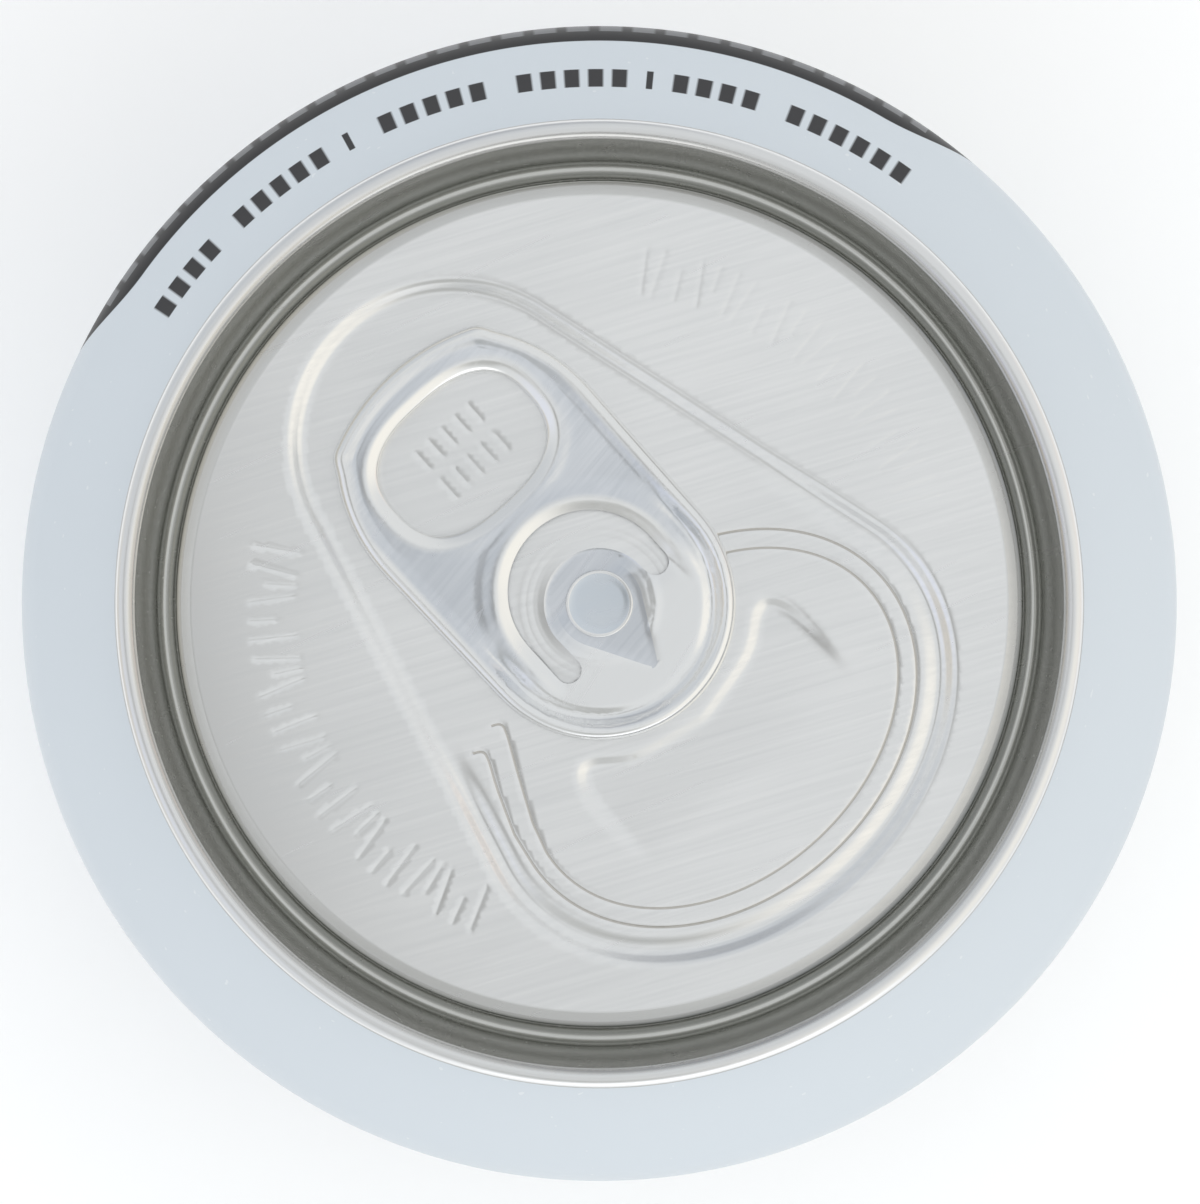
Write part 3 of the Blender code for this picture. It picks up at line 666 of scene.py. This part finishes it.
def rivet_profile():
    """Radii and heights of the rivet, from the recess floor to near the middle of its head."""
    rim = arc(HEAD_RADIUS - HEAD_BEVEL, HEAD_TOP - HEAD_BEVEL, HEAD_BEVEL, -30, 90, 10)
    flat = HEAD_RADIUS - HEAD_BEVEL
    dish = [(flat - t, HEAD_TOP - HEAD_DISH * (1 - (1 - 2 * t) ** 2)) for t in (0.1, 0.25, 0.4, 0.5)]
    neck = [(SHANK_RADIUS, HEAD_BOTTOM), (HEAD_RADIUS - HEAD_BEVEL / 2, HEAD_BOTTOM)]
    return [(radius, Z_FLOOR + height) for radius, height in neck + rim + dish]


def family(line, steps, closed=True):
    """An outline at several offsets, as lines for a mesh to follow."""
    return [(offset(line, by, closed), closed) for by in steps]


def panel_lines():
    """Lines that the panel's mesh follows, so that its relief is crisp."""
    lines = [(recess_line(grow), True) for grow in np.linspace(0, RECESS_WALL, 6)]
    for grow in np.linspace(0, GROOVE_RISE, 5)[1:]:
        edge = recess_line(-grow)
        lines += stretches(edge, [y < GROOVE_FADE[0] for x, y in edge])
    for line, _, width in tear_lines():
        lines += family(line, np.linspace(-width, width, 5) / 2, closed=False)
    for by in np.linspace(0, BEAD_RAMP, 4):
        edge = offset(bead_line(), -by)
        lines += stretches(edge, [y > BEAD_FADE[0] for x, y in edge])
    for mark in ticks():
        lines += family(spaced(mark, TICK_WIDTH, closed=False), (-TICK_WIDTH / 2, 0, TICK_WIDTH / 2), False)
    rings = [COIN_RADIUS - COIN_RAMP]
    for radius in COIN_LINES:
        rings += [radius - COIN_LINE_WIDTH / 2, radius, radius + COIN_LINE_WIDTH / 2]
    lines += [(arc(0, 0, radius, 0, 360, RIVET_SIDES)[:-1], True) for radius in rings]
    return lines


def tab_lines():
    """Lines that the tab's mesh follows, so that its rolls and its bead are smooth."""

    def bends(rise, width):
        return [place for place, _ in rise[1:]] + list(np.linspace(rise[-1][0], width, 5)[1:])

    lines = [(offset(tab_outline(), -within), True) for within in bends(CURL_RISE, CURL_WIDTH)]
    lines += [(finger_hole(within), True) for within in bends(HOLE_RISE, HOLE_WIDTH)]
    x, y = SLOT_CENTRE
    for out, _ in RING[1:]:
        radius = SLOT_RADIUS + out
        right = [(x + radius, leg) for leg in np.arange(RING_FADE[0], y, TAB_SPACING)]
        left = [(2 * x - px, py) for px, py in reversed(right)]
        lines.append((right + arc(x, y, radius, 0, 180, 80) + left, False))
    lines.append((arc(0, 0, ISLAND_RADIUS - ISLAND_LIP_WIDTH, 175, 5, 60), False))
    dish = spaced(island_dish(), TAB_SPACING)
    return lines + family(dish, np.linspace(0, -ISLAND_RAMP, 5))


class Graph:
    """A node tree, with short calls for the nodes that it uses."""

    def __init__(self, tree):
        self.tree = tree

    def node(self, kind, *inputs, **settings):
        """A node with its settings, whose inputs are numbers, colours or other nodes' sockets."""
        made = self.tree.nodes.new(kind)
        for key, value in settings.items():
            setattr(made, key, value)
        for number, value in enumerate(inputs):
            self.feed(made.inputs[number], value)
        return made

    def feed(self, socket, value):
        if isinstance(value, bpy.types.NodeSocket):
            self.tree.links.new(value, socket)
        elif value is not None:
            socket.default_value = value

    def maths(self, operation, *values):
        return self.node("ShaderNodeMath", *values, operation=operation).outputs[0]

    plus = partialmethod(maths, "ADD")
    minus = partialmethod(maths, "SUBTRACT")
    times = partialmethod(maths, "MULTIPLY")
    larger = partialmethod(maths, "MAXIMUM")
    smaller = partialmethod(maths, "MINIMUM")
    size = partialmethod(maths, "ABSOLUTE")

    def reach(self, across, along):
        """The length of a step across and along."""
        return self.maths("SQRT", self.plus(self.times(across, across), self.times(along, along)))

    def span(self, value, low, high, to_low=0.0, to_high=1.0, smooth=True):
        """A value's place between two marks, spread over another range."""
        kind = "SMOOTHSTEP" if smooth else "LINEAR"
        made = self.node("ShaderNodeMapRange", value, low, high, to_low, to_high, interpolation_type=kind)
        return made.outputs[0]

    def mix(self, share, first, second):
        """A colour between two others."""
        made = self.node("ShaderNodeMix", data_type="RGBA")
        for number, value in ((0, share), (6, first), (7, second)):
            self.feed(made.inputs[number], value)
        return made.outputs[2]


class Look(Graph):
    """A material and its node graph."""

    def __init__(self, name, **values):
        self.material = bpy.data.materials.new(name)
        self.material.use_nodes = True
        super().__init__(self.material.node_tree)
        self.shader = self.tree.nodes["Principled BSDF"]
        self.use(**values)
        self.place = self.node("ShaderNodeTexCoord").outputs["Object"]

    def noise(self, scale, detail=2.0, turn=0.0, stretch=(1, 1, 1)):
        """Noise with features about 1 / scale millimetres wide, stretched along turned axes."""
        values = None, (0, 0, math.radians(turn)), [s * MM / scale for s in stretch]
        place = self.node("ShaderNodeMapping", self.place, *values, vector_type="TEXTURE").outputs[0]
        return self.node("ShaderNodeTexNoise", place, None, 1, detail).outputs[0]

    def bump(self, height, depth, strength=1.0, after=None):
        """A bump of some depth in millimetres, on top of another."""
        made = self.node("ShaderNodeBump")
        values = {"Strength": strength, "Distance": depth * MM, "Height": height, "Normal": after}
        for name, value in values.items():
            self.feed(made.inputs[name], value)
        return made.outputs[0]

    def use(self, **sockets):
        """Gives the shader's sockets numbers, colours or other nodes' sockets, and returns the material."""
        for name, value in sockets.items():
            self.feed(self.shader.inputs[name.replace("_", " ")], value)
        return self.material


# Fine grain, broad grain, clouds and scratches of rolled sheet: features to the millimetre, detail, turn from
# the grain, and stretch along it
SHEET_NOISES = ((9.0, 3.0, 0, 60), (3.5, 2.0, 0, 40), (0.12, 4.0, 0, 2), (3.0, 1.0, 9, 60))
FINE_SHARE = 0.3  # of the fine grain in the streaks
SCRATCHED = (0.70, 0.74)  # the noise above which a scratch shows, and is full
SHEET_ROUGHNESS = (0.27, 0.20)  # where the sheet is dull, and where it is bright
SCRATCH_ROUGHNESS = 0.05
GRAIN_BUMP, SCRATCH_BUMP, SHEET_BUMP_STRENGTH = 0.0005, 0.0008, 0.4


def rolled_sheet(look, bright, dull, grain, cloud, contrast):
    """The colour, roughness and normal of rolled sheet: a fine straight grain, soft clouds and scratches."""
    noises = [look.noise(size, detail, grain + turn, (by, 1, 1)) for size, detail, turn, by in SHEET_NOISES]
    fine, broad, clouds, scratch = noises
    streaks = look.plus(look.times(fine, FINE_SHARE), look.times(broad, 1 - FINE_SHARE))
    marks = look.span(scratch, *SCRATCHED)
    grainy = look.times(look.minus(streaks, 0.5), contrast)
    tone = look.plus(grainy, look.span(clouds, 0.5 - cloud, 0.5 + cloud))
    colour = look.mix(tone, dull, bright)
    rough = look.span(tone, 0, 1, *SHEET_ROUGHNESS, smooth=False)
    rough = look.plus(rough, look.times(marks, SCRATCH_ROUGHNESS))
    normal = look.bump(fine, GRAIN_BUMP, SHEET_BUMP_STRENGTH)
    normal = look.bump(marks, SCRATCH_BUMP, SHEET_BUMP_STRENGTH, normal)
    return colour, rough, normal


def from_axis(look):
    """The distance from the can's axis in millimetres."""
    x, y, _ = look.node("ShaderNodeSeparateXYZ", look.place).outputs
    return look.times(look.reach(x, y), 1 / MM)


END_BRIGHT, END_DULL = (0.95, 0.95, 0.945, 1), (0.88, 0.885, 0.885, 1)
END_GRAIN, END_CLOUD, END_CONTRAST = -26, 0.4, 2.0
WALL_FOOT, WALL_TOP = (place[0] for place in chuck_wall())
SEAM_FACE = (SEAM_INNER + 0.25, SEAM_INNER + 0.45)
SEAM_EXTRA_ROUGHNESS = 0.08
# The colours outside the panel, partly painted shade: the radii between which each takes over from the one
# before
END_COLOURS_AND_PAINTED_SHADE = (
    (PANEL_BAND[0] - 0.15, PANEL_BAND[0], (0.80, 0.80, 0.79, 1)),  # the coined band
    (PANEL_BAND[1], PANEL_RADIUS, (0.70, 0.70, 0.67, 1)),  # the countersink, darkened as painted shade
    (SINK_RADIUS, WALL_FOOT, (0.44, 0.445, 0.43, 1)),  # the foot of the chuck wall, darkest with painted shade
    (WALL_FOOT + 0.15, WALL_TOP - 0.2, (0.62, 0.615, 0.60, 1)),  # its top, with less painted shade
    (*SEAM_FACE, (0.86, 0.865, 0.865, 1)),  # the seam
    (SEAM_OUTER - 0.12, SEAM_OUTER - 0.02, (0.36, 0.365, 0.365, 1)),  # the seam's side, a thin painted shadow
)


def end_look():
    """The end's sheet, with painted shade darkening the countersink, the chuck wall and the seam's side."""
    look = Look("end_sheet", Metallic=1.0)
    colour, rough, normal = rolled_sheet(look, END_BRIGHT, END_DULL, END_GRAIN, END_CLOUD, END_CONTRAST)
    radius = from_axis(look)
    for start, full, outside in END_COLOURS_AND_PAINTED_SHADE:
        colour = look.mix(look.span(radius, start, full), colour, outside)
    rough = look.plus(rough, look.times(look.span(radius, *SEAM_FACE), SEAM_EXTRA_ROUGHNESS))
    return look.use(Base_Color=colour, Roughness=rough, Normal=normal)


CLOUD_SPAN = (0.3, 0.7)  # the part of a cloud noise that the roughness follows
PLAIN_BUMP = 0.002


def plain_look(name, scale, colours, roughness, strength):
    """Metal with clouds of so many features to the millimetre in its colour, roughness and bump."""
    look = Look(name, Metallic=1.0)
    clouds = look.noise(scale)
    rough = look.span(clouds, *CLOUD_SPAN, *roughness)
    normal = look.bump(clouds, PLAIN_BUMP, strength)
    return look.use(Base_Color=look.mix(clouds, *colours), Roughness=rough, Normal=normal)


def tear_look():
    """The bottom of the tear lines, which the knife left dull, with painted shade darkening their colour."""
    # painted shade: these darker, browner colours stand in for the shade down in the tear lines' grooves
    colours = (0.58, 0.56, 0.52, 1), (0.70, 0.68, 0.64, 1)
    return plain_look("tear_line", 6.0, colours, roughness=(0.36, 0.44), strength=0.4)


def rivet_look():
    """The rivet's head, pressed smooth and painted slightly bluer and darker than the sheet, a painted
    reflection.
    """
    # painted reflection: the head's darker, bluer colours stand in for the bluish studio seen in its flat top
    colours = (0.69, 0.75, 0.82, 1), (0.78, 0.82, 0.86, 1)
    return plain_look("rivet_head", 0.6, colours, roughness=(0.24, 0.28), strength=0.2)


# Where painted highlights go on the tab: distances from its edge and its slot, and multiples of the finger
# hole's size
EDGE_HIGHLIGHT, BEAD_HIGHLIGHT, HOLE_HIGHLIGHT = (0.85, 0.45), (1.0, 0.6), (1.24, 1.12)
SLOT_LIP = (-0.2, 0.0)
# painted highlight: the bright colour laid along the tab's crests
CREST_HIGHLIGHT = (0.94, 0.94, 0.93, 1)
# painted reflection: the tab's sheet is darker and bluer than the end's, standing in for its web's dim bluish
# reflections
TAB_BRIGHT, TAB_DULL = (0.83, 0.85, 0.885, 1), (0.69, 0.72, 0.765, 1)
TAB_GRAIN, TAB_CLOUD, TAB_CONTRAST = 8, 0.3, 1.4
NOSE_HIGHLIGHT_COLOUR = (0.94, 0.945, 0.945, 1)
NOSE_WANDER, NOSE_WANDER_SCALE = 1.5, 0.7  # of the nose's painted highlight's edge: how far, and features to the millimetre


def crests(look):
    """1 along the tab's rolled edges and the bead round its slot, where their highlights are painted, and its
    y.
    """
    x, y, _ = look.node("ShaderNodeSeparateXYZ", look.place).outputs
    x, y = look.times(x, 1 / MM), look.times(y, 1 / MM)
    nose = look.minus(TAB_NOSE_RADIUS, look.reach(x, look.smaller(y, 0.0)))
    corner_x = look.plus(look.size(x), TAB_CORNER_RADIUS - TAB_HALF_WIDTH)
    corner_y = look.larger(look.minus(y, TAB_WIDEST_Y), 0.0)
    corner = look.minus(TAB_CORNER_RADIUS, look.reach(corner_x, corner_y))
    end = look.minus(TAB_END_RADIUS, look.reach(x, look.minus(y, TAB_END_Y - TAB_END_RADIUS)))
    edge = look.smaller(nose, look.smaller(corner, end))
    hole_x, hole_y, half_x, half_y, power = FINGER_HOLE
    sides = look.times(look.minus(x, hole_x), 1 / half_x), look.times(look.minus(y, hole_y), 1 / half_y)
    powers = [look.maths("POWER", look.size(side), power) for side in sides]
    hole = look.maths("POWER", look.plus(*powers), 1 / power)
    slot_x, slot_y = (look.minus(value, centre) for value, centre in zip((x, y), SLOT_CENTRE))
    slot = look.minus(look.reach(slot_x, look.larger(slot_y, 0.0)), SLOT_RADIUS)
    bead = look.times(look.span(slot, *BEAD_HIGHLIGHT), look.span(slot, *SLOT_LIP))
    bead = look.times(bead, look.span(y, *RING_FADE))
    rims = look.larger(look.span(edge, *EDGE_HIGHLIGHT), look.span(hole, *HOLE_HIGHLIGHT))
    return look.larger(rims, bead), y


def tab_look(name, lit_nose):
    """The tab's sheet, with painted highlights on its crests and, for most of the tab, where its nose was
    pressed flat.
    """
    look = Look(name, Metallic=1.0)
    colour, rough, normal = rolled_sheet(look, TAB_BRIGHT, TAB_DULL, TAB_GRAIN, TAB_CLOUD, TAB_CONTRAST)
    highlit, y = crests(look)
    colour = look.mix(highlit, colour, CREST_HIGHLIGHT)
    if lit_nose:
        y = look.plus(y, look.times(look.noise(NOSE_WANDER_SCALE, 3.0), NOSE_WANDER))
        colour = look.mix(look.span(y, *LIT_NOSE_SPAN), colour, NOSE_HIGHLIGHT_COLOUR)
    return look.use(Base_Color=colour, Roughness=rough, Normal=normal)


PALE, PALE_CLOUD, SPECK = (0.615, 0.665, 0.71, 1), (0.5966, 0.6451, 0.6887, 1), (0.75, 0.78, 0.80, 1)
CHARCOAL, BARE = (0.024, 0.024, 0.026, 1), (0.78, 0.78, 0.77, 1)
PRINT_DARK, LINE_COLOUR = (0.032, 0.032, 0.035, 1), (0.17, 0.175, 0.185, 1)
# Clouds, fine noise and specks of the coating: features to the millimetre, and detail
COATING_NOISES = ((0.05, 3.0), (3.0, 2.0), (2.2, 0.0))
SPECKED, SPECK_SHARE = (0.83, 0.86), 0.5
SILVER_SHARE = 0.35  # how metallic the pale coating is
COATING_ROUGHNESS, FINE_ROUGHNESS = (0.30, 0.38), 0.05
COATING_BUMP, COATING_BUMP_STRENGTH = 0.006, 0.25
LABEL_MIDDLE, LABEL_HALF = 59.6, 31.8  # angle of its middle, and half its width along the wall
LABEL_TOP_RISE, LABEL_BOTTOM = 3.3, 14.0  # above the middle of the shoulder's bend, and above the floor
LABEL_CORNER = 7.5
BARE_HEIGHT, BARE_BLUR = 3.2, 0.15  # the print stops this far above the floor
PRINT_RADII = (29.3, 30.38)  # where the row of marks runs on the shoulder
PRINT_GROUPS = ((11.4, 11, 6), (44.1, 11, 5), (78.5, 10, 5))  # first angle, count, and the mark left out
PRINT_PITCH, PRINT_SHARE = 2.6, 0.64  # degrees from mark to mark, and the share of it that is printed
PRINT_BARS, PRINT_BAR = (42.1, 76.1), 0.36  # angles and half width of the thin bars between the groups
LINE_ROWS = ((1.2, 2.1), (5.2, 1.6), (8.4, 1.6), (11.6, 1.6))  # depth below the label's top, and height
LINE_PITCH, LINE_SHARE, LINE_HALF = 1.9, 0.68, 27.0  # along the wall, of each row's plain marks
SHOULDER_FROM = 100.0  # above the floor
DISC_COLOUR, DISC_UP, DISC_RADIUS = (0.42, 0.52, 0.60, 1), 62.0, 24.0  # the plain disc opposite the label
DISC_MIDDLE = math.radians(LABEL_MIDDLE + 180) * BODY_RADIUS


def box_field(look, place, middle, half, corner, blur=0.03):
    """1 within a rounded box of the unrolled wall and 0 outside it, for a place across and up."""
    past = []
    for value, centre, size in zip(place, middle, half):
        past.append(look.larger(look.minus(look.size(look.minus(value, centre)), size - corner), 0.0))
    return look.span(look.reach(*past), corner + blur, corner - blur, smooth=False)


def repeat(look, value, pitch, share, blur=0.05):
    """1 on evenly spaced marks along a value and 0 between them."""
    place = look.maths("PINGPONG", look.times(value, 1 / pitch), 0.5)
    return look.span(place, share / 2 + blur, share / 2 - blur, smooth=False)


def band(look, value, low, high, blur=0.02):
    """1 between two marks of a value and 0 outside them."""
    away = look.size(look.minus(value, (low + high) / 2))
    return look.span(away, (high - low) / 2 + blur, (high - low) / 2 - blur, smooth=False)


def shoulder_print(look, degrees, radius):
    """The row of plain marks on the shoulder, in three groups with thin bars between them."""
    shown = [band(look, degrees, middle - PRINT_BAR, middle + PRINT_BAR, 0.05) for middle in PRINT_BARS]
    for start, count, gap in PRINT_GROUPS:
        marks = repeat(look, look.minus(degrees, start + PRINT_PITCH / 2), PRINT_PITCH, PRINT_SHARE)
        group = band(look, degrees, start, start + PRINT_PITCH * count)
        left_out = band(look, degrees, start + PRINT_PITCH * gap, start + PRINT_PITCH * (gap + 1))
        shown.append(look.times(marks, look.minus(group, left_out)))
    return look.times(band(look, radius, *PRINT_RADII), reduce(look.larger, shown))


def label_lines(look, across, below):
    """Rows of plain marks on the label, below its top."""
    marks = repeat(look, across, LINE_PITCH, LINE_SHARE)
    rows = [band(look, below, depth, depth + height) for depth, height in LINE_ROWS]
    within = band(look, across, -LINE_HALF, LINE_HALF)
    return look.times(look.times(marks, within), reduce(look.larger, rows))


def shell_look():
    """The printed coating, with plain fields and marks, over drawn aluminium that is bare at the base."""
    look = Look("coated_body", Coat_Weight=0.0, Specular_IOR_Level=0.12)
    x, y, z = look.node("ShaderNodeSeparateXYZ", look.place).outputs
    up = look.times(z, 1 / MM)
    turn = look.maths("ARCTAN2", y, x)
    wrapped = look.maths("WRAP", look.minus(turn, math.radians(LABEL_MIDDLE)), math.pi, -math.pi)
    across = look.times(wrapped, BODY_RADIUS)
    top = shoulder_centre()[1] + LABEL_TOP_RISE
    middle, half = (0.0, (top + LABEL_BOTTOM) / 2), (LABEL_HALF, (top - LABEL_BOTTOM) / 2)
    label = box_field(look, (across, up), middle, half, LABEL_CORNER)
    opposite = look.times(look.maths("WRAP", turn, 2 * math.pi, 0.0), BODY_RADIUS)
    disc = box_field(look, (opposite, up), (DISC_MIDDLE, DISC_UP), (DISC_RADIUS, DISC_RADIUS), DISC_RADIUS)
    upper = look.span(up, SHOULDER_FROM, SHOULDER_FROM + 1)
    marks = look.times(shoulder_print(look, look.times(turn, 180 / math.pi), from_axis(look)), upper)
    lines = label_lines(look, across, look.minus(top, up))
    clouds, fine, specks = (look.noise(scale, detail) for scale, detail in COATING_NOISES)
    specks = look.times(look.span(specks, *SPECKED), SPECK_SHARE)
    pale = look.mix(specks, look.mix(clouds, PALE_CLOUD, PALE), SPECK)
    pale = look.mix(marks, look.mix(disc, pale, DISC_COLOUR), PRINT_DARK)
    colour = look.mix(label, pale, look.mix(lines, CHARCOAL, LINE_COLOUR))
    bare = look.span(up, BARE_HEIGHT + BARE_BLUR, BARE_HEIGHT - BARE_BLUR)
    silver = look.span(look.larger(label, marks), 0, 1, SILVER_SHARE, 0.0, smooth=False)
    rough = look.span(clouds, *CLOUD_SPAN, *COATING_ROUGHNESS)
    rough = look.plus(rough, look.times(fine, FINE_ROUGHNESS))
    normal = look.bump(fine, COATING_BUMP, COATING_BUMP_STRENGTH)
    colour, metallic = look.mix(bare, colour, BARE), look.larger(silver, bare)
    return look.use(Base_Color=colour, Metallic=metallic, Roughness=rough, Normal=normal)


def make_shell():
    form = Form()
    profile = body_profile()
    first = form.ring(*profile[0], BODY_SIDES)
    form.fan(first, DOME_HEIGHT, upwards=False)
    last = form.turn(profile[1:], BODY_SIDES, first)
    form.fan(last, profile[-1][1], upwards=True)
    form.finish("can_shell", "can_body", [shell_look()])


def end_material(middles):
    """1 on the tear lines' faces, 2 on the rivet's head and 0 elsewhere."""
    flat = middles[:, :2]
    radius = np.hypot(*flat.T)
    upper = middles[:, 2] > Z_FLOOR - GROOVE_DROP - PANEL_BULGE
    # The head's outer ring keeps the sheet's colour as a painted highlight beside the head's painted
    # reflection
    number = np.where((radius < HEAD_RADIUS - HEAD_RIM_HIGHLIGHT) & (middles[:, 2] > Z_FLOOR + HEAD_BOTTOM), 2, 0)
    for line, _, width in tear_lines():
        number[(distance(flat, line, closed=False) < width / 2) & upper] = 1
    return number


def make_end():
    form = Form()
    edge = form.ring(PANEL_BAND[0], Z_PANEL - PANEL_BULGE, END_SIDES)
    last = form.turn(end_profile(), END_SIDES, edge)
    form.fan(last, CAN_HEIGHT - UNDERSIDE_DEPTH, upwards=False)
    root = form.ring(SHANK_RADIUS, Z_FLOOR + COIN_RISE, RIVET_SIDES)
    head = form.turn(rivet_profile(), RIVET_SIDES, root)
    form.fan(head, form.points[head[0]][2], upwards=True)
    form.fill([edge, root], panel_lines(), PANEL_SPACING, panel_height)
    looks = [end_look(), tear_look(), rivet_look()]
    form.finish("end_formed", "can_end", looks, end_material)


def tab_material(middles):
    """1 on the low ground round the rivet, which is left darker as painted shade, and 0 elsewhere."""
    return np.where(depth_within(middles[:, :2], island_dish()) > -ISLAND_RAMP / 2, 1, 0)


def make_tab():
    form = Form()
    cuts = [rounded_slot(), arc(0, 0, ISLAND_HOLE, 0, 360, RIVET_SIDES)[:-1]]
    outlines = [tab_outline(), finger_hole(), *cuts]
    upper = [form.add(outline, tab_top(np.array(outline))) for outline in outlines]
    lower = upper[:2] + [form.add(outline, tab_bottom(np.array(outline))) for outline in cuts]
    for over, under in zip(upper[2:], lower[2:]):
        form.join(over, under)
    form.fill(upper, tab_lines(), TAB_SPACING, tab_top)
    form.fill(lower, tab_lines(), TAB_SPACING, tab_bottom, upwards=False)
    # tab_island is the tab's sheet without the nose's painted highlight, so the low ground round the rivet
    # stays darker as painted shade
    looks = [tab_look("tab_sheet", True), tab_look("tab_island", False)]
    form.finish("tab_formed", "pull_tab", looks, tab_material)


CAMERA_TURN = -42.4  # degrees that the photograph's right-hand direction lies from +x
CAMERA_HEIGHT = 680.0  # above the rim
PICTURE_WIDTH, RIM_SCALE = 1200, 17.88  # pixels, and pixels to the millimetre at the rim
CAN_OFFSET = (-0.7, -1.5)  # pixels from the picture's centre to the can's, right and up
SENSOR = 36.0


def make_camera():
    data = bpy.data.cameras.new("camera")
    data.sensor_fit = "HORIZONTAL"
    data.sensor_width = SENSOR
    data.lens = RIM_SCALE * CAMERA_HEIGHT * SENSOR / PICTURE_WIDTH
    data.clip_start, data.clip_end = 0.01, 20
    camera = add_object("camera", data)
    camera.rotation_euler = Euler((0, 0, math.radians(CAMERA_TURN)))
    aside = Vector((-CAN_OFFSET[0], -CAN_OFFSET[1], 0)) / RIM_SCALE
    aside.rotate(camera.rotation_euler)
    camera.location = (aside + Vector((0, 0, CAN_HEIGHT + CAMERA_HEIGHT))) * MM
    bpy.context.scene.camera = camera


FLOOR_SIZE = 3000.0
FLOOR_TONES = (0.94, 0.94, 0.94, 1), (0.97, 0.97, 0.97, 1)


def make_floor():
    mesh = bpy.data.meshes.new("floor")
    half = FLOOR_SIZE / 2 * MM
    corners = [(-half, -half, 0), (half, -half, 0), (half, half, 0), (-half, half, 0)]
    mesh.from_pydata(corners, [], [(0, 1, 2, 3)])
    look = Look("floor", Roughness=0.8)
    mesh.materials.append(look.use(Base_Color=look.mix(look.noise(0.01, 2.0), *FLOOR_TONES)))
    add_object("floor", mesh)


SKY = (0.74, 0.757, 0.767)
# Azimuth and angle from straight up of each patch's middle, its inner and outer radius in degrees, and the
# light that it adds to the sky
SKY_PATCHES = (
    (292, 52, 16, 40, (0.24, 0.20, 0.13)),
    (153, 15, 4, 12, (-0.46, -0.48, -0.50)),
    (200, 36, 5, 13, (-0.22, -0.23, -0.25)),
    (230, 44, 6, 17, (-0.30, -0.31, -0.33)),
    (165, 54, 10, 24, (0.04, 0.05, 0.12)),
    (90, 55, 12, 40, (-0.14, -0.13, -0.11)),
    (238, 92, 20, 40, (0.72, 0.72, 0.72)),
    (330, 90, 14, 30, (0.16, 0.08, 0.02)),
    (148, 90, 12, 26, (-0.08, -0.14, -0.22)),
    (58, 90, 14, 34, (-0.30, -0.30, -0.28)),
)
KEY_POWER, KEY_SIZE, KEY_PLACE = 10.0, 1.4, (0.0, 0.0, 1.3)


def make_sky():
    """A bright studio with softboxes round the object, as patches of light on an even sky."""
    world = bpy.data.worlds.new("studio")
    world.use_nodes = True
    bpy.context.scene.world = world
    graph = Graph(world.node_tree)
    direction = graph.node("ShaderNodeTexCoord").outputs["Generated"]
    total = SKY
    for azimuth, polar, inner, outer, light in SKY_PATCHES:
        middle = Euler((0, math.radians(polar), math.radians(azimuth))).to_matrix() @ Vector((0, 0, 1))
        near = graph.node("ShaderNodeVectorMath", direction, middle, operation="DOT_PRODUCT").outputs["Value"]
        share = graph.span(near, math.cos(math.radians(outer)), math.cos(math.radians(inner)))
        total = graph.node("ShaderNodeVectorMath", share, light, total, operation="MULTIPLY_ADD").outputs[0]
    graph.feed(graph.tree.nodes["Background"].inputs["Color"], total)


def make_lamp():
    """A soft lamp overhead that lights the floor and the paint and leaves no image in the metal."""
    lamp = bpy.data.lights.new("overhead", "AREA")
    lamp.size = KEY_SIZE
    lamp.energy = KEY_POWER
    overhead = add_object("overhead", lamp)
    overhead.location = KEY_PLACE
    overhead.visible_glossy = False
    overhead.visible_camera = False


make_shell()
make_end()
make_tab()
make_floor()
make_sky()
make_lamp()
make_camera()
bpy.context.scene.view_settings.view_transform = "Standard"
